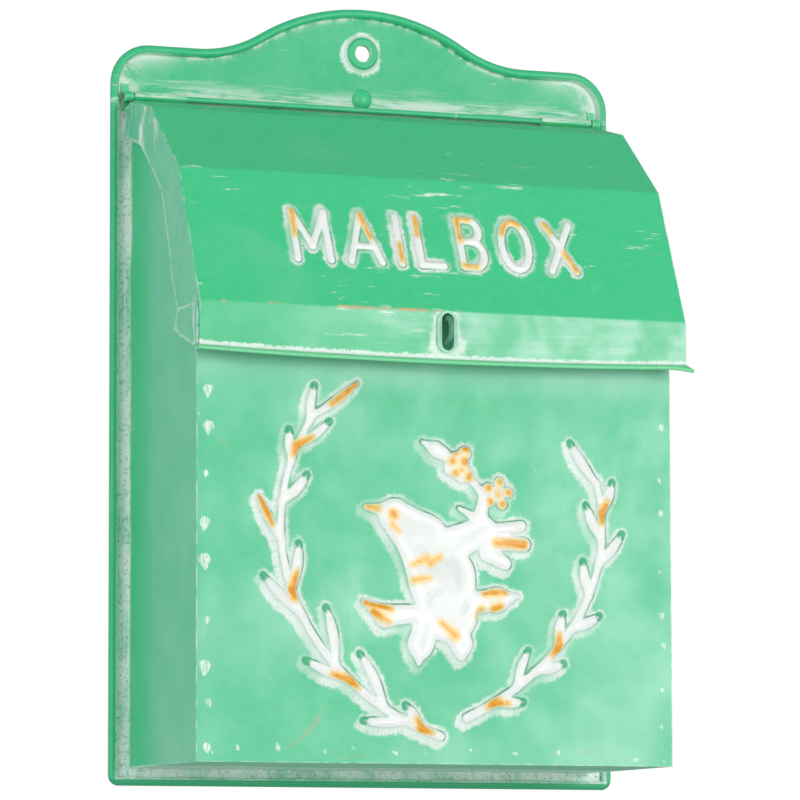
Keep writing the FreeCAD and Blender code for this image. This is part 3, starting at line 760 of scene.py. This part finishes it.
class Value:
    """A number that a node tree works out, for use in ordinary arithmetic."""

    def __init__(self, paint, socket):
        self.paint = paint
        self.socket = socket

    def math(self, operation, other=0, clamp=False):
        return self.paint.math(operation, self, other, clamp)

    def __add__(self, other):
        return self.math("ADD", other)

    def __sub__(self, other):
        return self.math("SUBTRACT", other)

    def __rsub__(self, other):
        return self.paint.math("SUBTRACT", other, self)

    def __mul__(self, other):
        return self.math("MULTIPLY", other)

    def __abs__(self):
        return self.math("ABSOLUTE")

    def ramp(self, low, high, to_low=0, to_high=1):
        """A smooth step from to_low, where the number is low, to to_high, where it is high."""
        node = self.paint.add("ShaderNodeMapRange", {0: self, 1: low, 2: high, 3: to_low, 4: to_high},
                               interpolation_type="SMOOTHSTEP")
        return Value(self.paint, node.outputs[0])


def most(first, *others):
    """The largest of several numbers."""
    for other in others:
        first = first.math("MAXIMUM", other)
    return first


def hypotenuse(a, b):
    return (a * a + b * b).math("SQRT")


class Paint:
    """Builds one finish's node tree, a step at a time."""

    def __init__(self, name):
        self.material = bpy.data.materials.new(name)
        self.material.use_nodes = True
        self.tree = self.material.node_tree
        self.tree.nodes.clear()
        self.point = self.add("ShaderNodeTexCoord").outputs["Object"]

    def add(self, kind, inputs=None, **settings):
        node = self.tree.nodes.new(kind)
        for key, value in settings.items():
            setattr(node, key, value)
        for key, value in (inputs or {}).items():
            self.feed(node.inputs[key], value)
        return node

    def feed(self, socket, value):
        if isinstance(value, Value):
            value = value.socket
        if isinstance(value, bpy.types.NodeSocket):
            self.tree.links.new(value, socket)
        elif hasattr(socket.default_value, "__len__") and len(socket.default_value) == 4:
            socket.default_value = (*value[:3], 1)
        else:
            socket.default_value = value

    def math(self, operation, a, b=0, clamp=False):
        node = self.add("ShaderNodeMath", {0: a, 1: b}, operation=operation, use_clamp=clamp)
        return Value(self, node.outputs[0])

    def dot(self, a, b):
        node = self.add("ShaderNodeVectorMath", {0: a, 1: b}, operation="DOT_PRODUCT")
        return Value(self, node.outputs["Value"])

    def fields(self, *names):
        """The mesh's own attributes of those names."""
        nodes = [self.add("ShaderNodeAttribute", attribute_name=name) for name in names]
        return [Value(self, node.outputs["Fac"]) for node in nodes]

    def axes(self):
        """Place on the object, in millimetres."""
        split = self.add("ShaderNodeSeparateXYZ", {0: self.point})
        return [Value(self, socket) * (1 / MM) for socket in split.outputs]

    def noise(self, scale, detail=2, roughness=0.5, warp=0, stretch=None, shift=(0, 0, 0)):
        """Noise that repeats about scale times a metre, and more often along an axis by its stretch."""
        point = self.point
        if stretch:
            mapping = self.add("ShaderNodeMapping", {"Vector": point, "Scale": stretch, "Location": shift})
            point = mapping.outputs[0]
        node = self.add("ShaderNodeTexNoise", {
            "Vector": point, "Scale": scale, "Detail": detail, "Roughness": roughness, "Distortion": warp})
        return Value(self, node.outputs["Fac"])

    def mix(self, share, a, b):
        """Colour a where share is 0, colour b where it is 1."""
        node = self.add("ShaderNodeMix", data_type="RGBA")
        for index, value in ((0, share), (6, a), (7, b)):
            self.feed(node.inputs[index], value)
        return node.outputs[2]

    def sharp_edges(self, radius, low=0.04, high=0.35):
        """Mask of the sheet's worn corners: where a rounded normal leaves the true one."""
        rounded = self.add("ShaderNodeBevel", {"Radius": radius}, samples=6).outputs[0]
        true = self.add("ShaderNodeNewGeometry").outputs["Normal"]
        return (1.0 - self.dot(rounded, true)).ramp(low, high)

    def folds(self, distance, low, high):
        """Mask of the inside corners, where paint and dust settle."""
        open_sky = self.add("ShaderNodeAmbientOcclusion", {"Distance": distance}, samples=8, only_local=True)
        return self.math("SUBTRACT", 1, open_sky.outputs["AO"]).ramp(low, high)

    def finish(self, tint, roughness, bump=None, bump_height=0.2 * MM, metallic=0):
        shader = self.add("ShaderNodeBsdfPrincipled", {
            "Base Color": tint, "Roughness": roughness, "Metallic": metallic})
        if bump is not None:
            ridge = self.add("ShaderNodeBump", {"Height": bump, "Distance": bump_height, "Strength": 1.0})
            self.feed(shader.inputs["Normal"], ridge.outputs[0])
        out = self.add("ShaderNodeOutputMaterial")
        self.tree.links.new(shader.outputs[0], out.inputs["Surface"])
        return self.material


def coat(paint, base, cloud_scale, cloud_low, cloud_high, strength):
    """Two-tone coat: the main green, rubbed thin in soft clouds and brush streaks. On the front panel the
    clouds also stand in for soft reflections, as painted reflection.
    """
    mint = colours().mint
    cloud = paint.noise(cloud_scale, 3, 0.55, 0.4).ramp(cloud_low, cloud_high)
    streak = paint.noise(9, 4, 0.65, stretch=(22, 22, 1.6)).ramp(0.42, 0.75)
    share = (cloud * (strength * 0.8)).math("ADD", streak * cloud * (strength * 0.3), clamp=True)
    fine = paint.noise(260, 3, 0.6).ramp(0.35, 0.75, 0, 0.1)
    return paint.mix(fine, paint.mix(share, base, mint), mint)


def flecks(paint, stretch, scale, low, high, patch_low, patch_high, seed):
    """Short dry-brush flecks gathered in loose patches."""
    shift = (seed, seed * 0.7, seed * 1.3)
    marks = paint.noise(scale, 5, 0.7, 0.2, stretch, shift)
    patch = paint.noise(22, stretch=(1, 1, 1), shift=shift)
    return marks.ramp(low, high) * patch.ramp(patch_low, patch_high)


def satin(paint, tint, glossy, dull, bump_height=0.2 * MM, scale=40):
    """Ends a paint with a patchy sheen and the orange peel and slow swell of a sprayed coat."""
    rough = paint.noise(scale, 3).ramp(0.3, 0.7, glossy, dull)
    peel = paint.noise(420) * 0.12 + paint.noise(26)
    return paint.finish(tint, rough, peel, bump_height)


def painted_relief(paint, tint, halo_reach, halo_tint, halo_strength):
    """White and orange layers over the pressed decoration, with a dry-brushed halo."""
    shades = colours()
    relief, smear, touch, bare = paint.fields("relief", "smear", "touch", "bare")
    coarse = paint.noise(260, 4, 0.65)
    wobble = (coarse - 0.5) * 5.0
    halo = (most(relief, smear) + wobble * 0.8).ramp(-halo_reach, -halo_reach * 0.35)
    stipple = (paint.noise(1100, 3, 0.7) + halo * 0.16).ramp(0.46, 0.62, 0.12, 1)
    patch = paint.noise(48).ramp(0.34, 0.6, 0.4, 1)
    tint = paint.mix(halo * stipple * patch * halo_strength, tint, halo_tint)
    # Deep green line along the relief's far, upper-right edge: partly its unpainted sidewall, partly painted
    # shade on the side turned from the light.
    lee = (smear - relief).ramp(0.6, -0.9, 0.15, 1)
    gap_and_shade_line = relief.ramp(-1.1, -0.45) * relief.ramp(0.25, -0.25) * lee
    tint = paint.mix(gap_and_shade_line * paint.noise(70).ramp(0.36, 0.58, 0.15, 0.8), tint, shades.shade)
    open_tip = (bare + wobble * 0.8).ramp(0, 1.2)
    solid = (relief + wobble * 0.13).ramp(-0.15, 0.5) * (1.0 - open_tip * 0.9)
    thin = paint.noise(75, 3, 0.6).ramp(0.25, 0.6, 0.9, 1)
    washed = relief.ramp(2.6, 6.5) * paint.noise(70, 3, 0.6).ramp(0.3, 0.6, 0.55, 1)
    white = paint.mix(paint.noise(55).ramp(0.4, 0.7), shades.white, COOL_WHITE)
    tint = paint.mix(solid * thin, tint, paint.mix(washed, white, WASHED_WHITE))
    crescent = (bare + wobble).ramp(-0.9, 0.4) * relief.ramp(-1.9, -0.9) * relief.ramp(1.3, 0.4)
    tint = paint.mix(crescent * 0.9, tint, shades.tip)
    ragged = touch + wobble * 0.4
    tint = paint.mix(ragged.ramp(-2.4, 0.8) * solid * 0.85, tint, shades.amber)
    core = ragged.ramp(0, 1.6) * solid * coarse.ramp(0.25, 0.6, 0.6, 1)
    return paint.mix(core, tint, shades.orange)


def relief_paint():
    """Front panel: cloudy pale green with a painted highlight towards the right, the lip's shadow painted
    lighter, and a pressed, painted decoration.
    """
    shades = colours()
    paint = Paint("cloudy_panel_paint")
    # The strong mint clouds here are partly rubbed paint and partly painted reflection of the soft light on
    # the sheet.
    tint = coat(paint, shades.panel, 11, 0.44, 0.72, 0.8)
    x, _, z = paint.axes()
    # Painted highlight: soft pale mint patches towards the right of the panel, where the light falls most.
    highlight_patch = x.ramp(30, 110) * paint.noise(18, 4, 0.6).ramp(0.36, 0.62) * 0.36
    tint = paint.mix(highlight_patch, tint, PAINTED_LIGHT_MINT)
    # Painted light: the top of the panel, shaded by the lid's lip, is lightened towards pale mint.
    tint = paint.mix(z.ramp(-186, -169, 0, 0.4), tint, PAINTED_LIGHT_MINT)
    dab, scuff = paint.fields("dab", "scuff")
    scratch = flecks(paint, (4, 4, 1.6), 50, 0.64, 0.74, 0.54, 0.68, 0.31)
    comb = paint.noise(150, 4, 0.7, stretch=(6, 6, 1)).ramp(0.4, 0.58, 0.25, 1)
    dabs = (dab + paint.noise(600, 4, 0.7) * 2.2).ramp(1, 1.9) * comb
    worn = paint.sharp_edges(1.6 * MM) * paint.noise(120, 4, 0.7).ramp(0.42, 0.6)
    tint = paint.mix(most(scratch, dabs, worn) * 0.8, tint, shades.white)
    scuffed = (scuff + paint.noise(420, 4, 0.7) * 2.4).ramp(0.6, 2.2)
    tint = paint.mix(scuffed * 0.5, tint, SCUFF_BROWN)
    tint = painted_relief(paint, tint, 3.4, PANEL_HALO, 0.95)
    return satin(paint, tint, 0.34, 0.48, 0.25 * MM)


def slot_rub(paint, x, z):
    """White rubbed round the slot's eyelet, wider towards its foot."""
    along = z - SLOT_Z / MM
    beyond = most(abs(along) - SLOT_STRAIGHT / MM, 0)
    ragged = hypotenuse(x, beyond) + paint.noise(170, 5, 0.75) * 10 + along * 0.17
    return ragged.ramp(14.2, 11.2) * paint.noise(420, 4, 0.75).ramp(0.34, 0.54, 0.45, 0.85)


def lid_paint():
    """Lid: satin green, raised word, pale band and a white rub above the lip."""
    shades = colours()
    paint = Paint("satin_lid_paint")
    tint = coat(paint, shades.green, 15, 0.52, 0.8, 0.35)
    x, _, z = paint.axes()
    crease, lip, curl = paint.fields("crease", "lip", "curl")
    on_band = crease.ramp(-0.5, 1) * lip.ramp(1, -0.5)
    tint = paint.mix(on_band * 0.45, tint, BAND_GREEN)
    cloud = paint.noise(26, 3, 0.6, 0.3).ramp(0.38, 0.66).math("ADD", 0.3, clamp=True)
    to_right = x.ramp(-110, 40, 0.05, 1)
    brushed = paint.noise(34, 4, 0.7, stretch=(1, 5, 9)).ramp(0.3, 0.7, 0.65, 1)
    tint = paint.mix(on_band * cloud * to_right * brushed, tint, BAND_PALE)
    tint = paint.mix(lip.ramp(0.6, 1.6) * 0.4, tint, LIP_GREEN)
    marks = flecks(paint, (1, 3, 7), 42, 0.585, 0.69, 0.5, 0.64, 0.77)
    ragged = lip + paint.noise(230, 5, 0.75) * x.ramp(-20, 50, 5, 4)
    rub = ragged.ramp(0.2, 1.4) * lip.ramp(1.2, 0.2)
    rub = rub * paint.noise(700, 3, 0.7).ramp(0.3, 0.52, 0.55, 1)
    worn = paint.sharp_edges(1.4 * MM) * paint.noise(140, 4, 0.7).ramp(0.45, 0.62)
    rolled = paint.noise(90, 5, 0.75, stretch=(0.5, 6, 6)).ramp(0.4, 0.6, 0.15, 0.9)
    rolled = rolled * curl.ramp(-3, -0.5)
    white = most(marks, rub, slot_rub(paint, x, z) * on_band, worn, rolled)
    tint = paint.mix(white * 0.85, tint, shades.white)
    scuffed = paint.noise(30, 5, 0.7, stretch=(1, 1, 1), shift=(0.4, 0, 0)).ramp(0.5, 0.6)
    line = abs(crease).ramp(1.1, 0.3) * scuffed * x.ramp(20, -20)
    tint = paint.mix(line * 0.8, tint, RUST)
    tint = painted_relief(paint, tint, 3, LID_HALO, 0.97)
    return satin(paint, tint, 0.36, 0.5)


def speckled(paint):
    """Colour of the dry white strips on the wall flanges: streaky, with fine dark specks."""
    streak = paint.noise(95, 4, 0.7, stretch=(1, 1, 0.28)).ramp(0.34, 0.56)
    specks = paint.noise(520, 4, 0.85).ramp(0.46, 0.4)
    return paint.mix(specks * 0.5, paint.mix(streak, STRIP_MINT, STRIP_WHITE), STRIP_SPECK)


def plate_rub(paint, x, y, z):
    """White rubbed on the front of the plate: hinge line, both shoulders and round the boss."""
    reach = abs(x)
    drag = paint.noise(30, 5, 0.7, stretch=(0.7, 1, 9)).ramp(0.48, 0.66)
    hinge = z.ramp(-14, -27) * z.ramp(-42, -32) * drag
    hinge = hinge * reach.ramp(70, 115, 0.62, 1)
    low = paint.noise(38, 5, 0.7, stretch=(0.5, 1, 5)).ramp(0.4, 0.54)
    low = low * z.ramp(-19.5, -25) * 0.75
    scrape = paint.noise(70, 5, 0.75, 0.4)
    ends = (reach + scrape * 26).ramp(128, 139) * z.ramp(-32, -26)
    ends = ends * scrape.ramp(0.36, 0.56, 0.35, 1) * 0.85
    flat = y.ramp(-1.7, -1.2)
    around = hypotenuse(x, z)
    ragged = around + (paint.noise(150, 5, 0.75, 0.3) - 0.5) * 9
    ring = around.ramp(7.8, 8.8) * ragged.ramp(11.8, 9.8) * 0.92
    shoulders = paint.folds(14 * MM, 0.03, 0.2) * reach.ramp(85, 115)
    shoulders = shoulders * z.ramp(-34, -28) * scrape.ramp(0.34, 0.5) * 0.95
    return most(hinge, most(low, ends) * flat, ring, shoulders)


def plate_paint():
    """Back plate: green, rubbed white, with a painted shade on its lower bead and speckled strips beside and
    below the box.
    """
    shades = colours()
    paint = Paint("rubbed_plate_paint")
    tint = coat(paint, shades.plate, 14, 0.5, 0.8, 0.12)
    x, y, z = paint.axes()
    front = y.ramp(-0.2, -0.6)
    rag = paint.noise(85, 5, 0.75).ramp(0.42, 0.6)
    inner = paint.folds(9 * MM, 0.1, 0.42) * rag
    marks = flecks(paint, (1, 1, 4), 50, 0.64, 0.74, 0.5, 0.64, 0.5)
    worn = paint.sharp_edges(1.5 * MM) * rag
    # Painted shade: the lower bead, which faces down away from the light, is darkened towards deep green.
    tint = paint.mix(z.ramp(-363, -364.8) * 0.5, tint, shades.shade)
    white = most(inner, plate_rub(paint, x, y, z) * front, marks, worn)
    tint = paint.mix(white * 0.8, tint, shades.white)
    in_bead = abs(x).ramp(130.3, 129.6) * z.ramp(-364.2, -363.6)
    beside = abs(x).ramp(119.5, 120.5) * z.ramp(-30, -36)
    below = z.ramp(-356, -357.5) * 0.75
    tint = paint.mix(most(beside, below) * in_bead * front, tint, speckled(paint))
    return satin(paint, tint, 0.36, 0.5)


def side_paint():
    """Sides and floor: duller green, deepened over the rear as painted shade, with a speckled white strip on
    the wall flange.
    """
    shades = colours()
    paint = Paint("dull_side_paint")
    tint = coat(paint, shades.side, 9, 0.45, 0.8, 0.35)
    x, y, z = paint.axes()
    # Painted shade: the rear of the sides and floor, next to the back plate, is deepened towards the darker
    # lid green.
    rear_shade_band = (y + paint.noise(9) * 8).ramp(-36, -22)
    tint = paint.mix(rear_shade_band * 0.8, tint, shades.green)
    flange = abs(x).ramp(122.4, 122.8)
    dry = paint.noise(120, 5, 0.75, stretch=(1, 1, 0.2)) * 10
    corner = (y + dry).ramp(0.2, 3) * 0.85
    streaks = paint.noise(40, 5, 0.7, stretch=(0.5, 3, 1)) * 60
    under = (y + streaks).ramp(-20, 0) * z.ramp(-357.6, -358.2) * 0.6
    tint = paint.mix(most(flange, corner, under), tint, speckled(paint))
    worn = paint.sharp_edges(1.3 * MM) * paint.noise(150, 4, 0.7).ramp(0.42, 0.6)
    marks = flecks(paint, (1, 1, 1), 48, 0.7, 0.8, 0.55, 0.68, 0.9)
    tint = paint.mix(most(worn, marks) * 0.75, tint, shades.white)
    return satin(paint, tint, 0.38, 0.52)


def inside_lid(paint):
    """Mask that is 0 along the lid's own folds and 1 a few millimetres inside them."""
    beyond = []
    corners = ((HINGE_DEPTH, HINGE_Z), CREASE_1, CREASE_2, BAND_TOP)
    for (d0, z0), (d1, z1) in zip(corners, corners[1:]):
        length = math.hypot(d1 - d0, z1 - z0)
        out = (0, (z1 - z0) / length, (d1 - d0) / length)
        beyond.append(paint.dot(paint.point, out) - (out[2] * z0 - out[1] * d0))
    return most(*beyond).ramp(-1.6 * MM, -4.0 * MM)


def trim_paint(name, base, edge_radius, strength, brushed=0, beside_lid=False):
    """Small painted pieces: rubbed white on every corner and brushed."""
    paint = Paint(name)
    tint = coat(paint, base, 30, 0.5, 0.8, 0.3)
    worn = paint.sharp_edges(edge_radius, 0.02, 0.14) * paint.noise(320, 4, 0.7).ramp(0.36, 0.56)
    if beside_lid:
        worn = worn * inside_lid(paint)
    marks = flecks(paint, (1, 1, 0.22), 110, 0.6 - brushed, 0.7 - brushed, 0.48 - brushed, 0.6, 0.2)
    tint = paint.mix(most(worn, marks) * strength, tint, colours().white)
    return satin(paint, tint, 0.34, 0.5, 0.12 * MM, 80)


def bare_steel():
    """Plain wire and plate that the paint doesn't reach."""
    paint = Paint("plain_steel")
    drawn = paint.noise(60, 4, 0.6, stretch=(1, 9, 9))
    tint = paint.mix(drawn.ramp(0.3, 0.7), colours().steel, OILED_STEEL)
    return paint.finish(tint, drawn.ramp(0.3, 0.7, 0.3, 0.5), drawn, 0.05 * MM, metallic=0.9)


def repaint(material, *nodes):
    for node in nodes:
        for slot in frame["nodes"][node].material_slots:
            slot.material = material


# -------------------------------- stage

FLOOR_DROP = 1.1
FLOOR_SIZE = 60.0
FLOOR_TONES = ((0.8, 0.8, 0.79), (0.84, 0.84, 0.83))
AIM = (0.0006, -0.05, -0.1792)
LIGHT_AIM = (0.0, -0.1, -0.2)
FILL_SPOT, FILL_SIZE = (-2.0, -1.4, -0.1), 1.4
KEY_SPOT, KEY_SIZE = (1.0, -2.1, -0.1), 0.9
SENSOR_WIDTH = 36.0
FAR_CLIP = 200.0


def sweep_floor():
    """A plain pale floor, well below the mailbox."""
    select_none()
    height = CAD_BOX[0][2] - FLOOR_DROP
    bpy.ops.mesh.primitive_grid_add(
        x_subdivisions=8, y_subdivisions=8, size=FLOOR_SIZE, location=(0, 0, height))
    floor = bpy.context.object
    floor.name = "studio_floor"
    bpy.ops.object.transform_apply(location=True)
    paint = Paint("pale_floor")
    tint = paint.mix(paint.noise(0.6), *FLOOR_TONES)
    floor.data.materials.append(paint.finish(tint, 0.8))


def soft_light(name, spot, size, power):
    select_none()
    bpy.ops.object.light_add(type="AREA", location=spot)
    lamp = bpy.context.object
    lamp.name = name
    lamp.data.size = size
    lamp.data.energy = power
    lamp.rotation_euler = (Vector(LIGHT_AIM) - Vector(spot)).to_track_quat("-Z", "Y").to_euler()


def white_surround(strength):
    """White to the camera; to the mailbox, bright at the sides and dimmer overhead."""
    world = bpy.data.worlds.new("white_surround")
    bpy.context.scene.world = world
    world.use_nodes = True
    tree = world.node_tree
    sky = tree.nodes["Background"]
    sky.inputs["Color"].default_value = (1.0, 1.0, 1.0, 1.0)
    seen = tree.nodes.new("ShaderNodeLightPath").outputs["Is Camera Ray"]
    way = tree.nodes.new("ShaderNodeTexCoord").outputs["Generated"]
    split = tree.nodes.new("ShaderNodeSeparateXYZ")
    tree.links.new(way, split.inputs[0])
    dome = tree.nodes.new("ShaderNodeMapRange")
    tree.links.new(split.outputs[2], dome.inputs[0])
    for index, value in enumerate((0.0, 0.7, strength, strength * 0.4), 1):
        dome.inputs[index].default_value = value
    level = tree.nodes.new("ShaderNodeMapRange")
    tree.links.new(seen, level.inputs[0])
    tree.links.new(dome.outputs[0], level.inputs[3])
    level.inputs[4].default_value = 1.0
    tree.links.new(level.outputs[0], sky.inputs["Strength"])


def product_camera(stage):
    az, el = stage.azimuth, stage.elevation
    back = Vector((math.sin(az) * math.cos(el), -math.cos(az) * math.cos(el), math.sin(el)))
    select_none()
    bpy.ops.object.camera_add(location=Vector(AIM) + back * stage.distance)
    camera = bpy.context.object
    camera.name = "product_camera"
    turn = (-back).to_track_quat("-Z", "Y").to_matrix() @ Matrix.Rotation(stage.roll, 3, "Z")
    camera.rotation_euler = turn.to_euler()
    camera.data.lens = stage.lens
    camera.data.sensor_width = SENSOR_WIDTH
    camera.data.clip_end = FAR_CLIP
    bpy.context.scene.camera = camera


def studio():
    stage = bpy.context.scene.mailbox_stage
    sweep_floor()
    white_surround(stage.sky)
    soft_light("fill_light", FILL_SPOT, FILL_SIZE, stage.fill_power)
    soft_light("key_light", KEY_SPOT, KEY_SIZE, stage.key_power)
    product_camera(stage)
    bpy.context.scene.view_settings.view_transform = "Standard"


# -------------------------------- operators

class MAILBOX_OT_front(bpy.types.Operator):
    """Press the front panel with its laurel, bird and sprig"""
    bl_idname = "mailbox.front"
    bl_label = "Front panel"

    def execute(self, context):
        front_relief()
        return {"FINISHED"}


class MAILBOX_OT_lid(bpy.types.Operator):
    """Fold the lid with its knuckles, raised word, slot and lip"""
    bl_idname = "mailbox.lid"
    bl_label = "Lid"

    def execute(self, context):
        lid_shell()
        return {"FINISHED"}


class MAILBOX_OT_plate(bpy.types.Operator):
    """Paint the back plate"""
    bl_idname = "mailbox.plate"
    bl_label = "Back plate paint"

    def execute(self, context):
        repaint(plate_paint(), "back_plate")
        return {"FINISHED"}


class MAILBOX_OT_sides(bpy.types.Operator):
    """Paint the sides and the floor of the box"""
    bl_idname = "mailbox.sides"
    bl_label = "Side paint"

    def execute(self, context):
        repaint(side_paint(), "left_side_panel", "right_side_panel", "bottom_panel")
        return {"FINISHED"}


class MAILBOX_OT_trim(bpy.types.Operator):
    """Paint the cheeks, straps, staple, rivet and eyelet"""
    bl_idname = "mailbox.trim"
    bl_label = "Trim paint"

    def execute(self, context):
        shades = colours()
        cheeks = trim_paint("worn_cheek_paint", shades.side, 3.0 * MM, 0.8, 0.07, True)
        repaint(cheeks, "lid_left_cheek", "lid_right_cheek", "lid_left_corner_flap", "lid_right_corner_flap")
        repaint(trim_paint("eyelet_paint", shades.mint, 0.9 * MM, 0.8), "lid_slot_eyelet")
        hardware = trim_paint("hardware_paint", shades.green, 0.8 * MM, 0.6)
        repaint(hardware, "left_hinge_strap", "right_hinge_strap", "lid_stop_rivet")
        repaint(trim_paint("staple_paint", STAPLE_GREEN, 0.7 * MM, 0.5, 0.03), "lock_staple")
        repaint(trim_paint("hinge_wire_paint", shades.green, 0.6 * MM, 0.5), "hinge_wire")
        repaint(bare_steel(), "rim_wire", "staple_backing_plate")
        return {"FINISHED"}


class MAILBOX_OT_studio(bpy.types.Operator):
    """Set the floor, the soft light and the camera"""
    bl_idname = "mailbox.studio"
    bl_label = "Studio"

    def execute(self, context):
        studio()
        return {"FINISHED"}


class MAILBOX_PT_panel(bpy.types.Panel):
    """Lists the mailbox's sizes, colours and steps"""
    bl_idname = "MAILBOX_PT_panel"
    bl_label = "Wall mailbox"
    bl_space_type = "VIEW_3D"
    bl_region_type = "UI"
    bl_category = "Mailbox"

    def draw(self, context):
        for name in GROUPS:
            group = getattr(context.scene, name)
            box = self.layout.box()
            for key in group.bl_rna.properties.keys():
                if key not in {"rna_type", "name"}:
                    box.prop(group, key)
        for step in STEPS:
            self.layout.operator(step.bl_idname)


STEPS = (MAILBOX_OT_front, MAILBOX_OT_lid, MAILBOX_OT_plate,
         MAILBOX_OT_sides, MAILBOX_OT_trim, MAILBOX_OT_studio)
GROUPS = {"mailbox_sizes": MailboxSizes, "mailbox_colours": MailboxColours, "mailbox_stage": MailboxStage}


def register():
    for group in GROUPS.values():
        bpy.utils.register_class(group)
    for step in STEPS:
        bpy.utils.register_class(step)
    bpy.utils.register_class(MAILBOX_PT_panel)
    for name, group in GROUPS.items():
        setattr(bpy.types.Scene, name, bpy.props.PointerProperty(type=group))


def unregister():
    for name in GROUPS:
        delattr(bpy.types.Scene, name)
    bpy.utils.unregister_class(MAILBOX_PT_panel)
    for step in reversed(STEPS):
        bpy.utils.unregister_class(step)
    for group in reversed(list(GROUPS.values())):
        bpy.utils.unregister_class(group)


def main():
    register()
    bpy.ops.mailbox.front()
    bpy.ops.mailbox.lid()
    bpy.ops.mailbox.plate()
    bpy.ops.mailbox.sides()
    bpy.ops.mailbox.trim()
    bpy.ops.mailbox.studio()


if __name__ == "__main__":
    main()
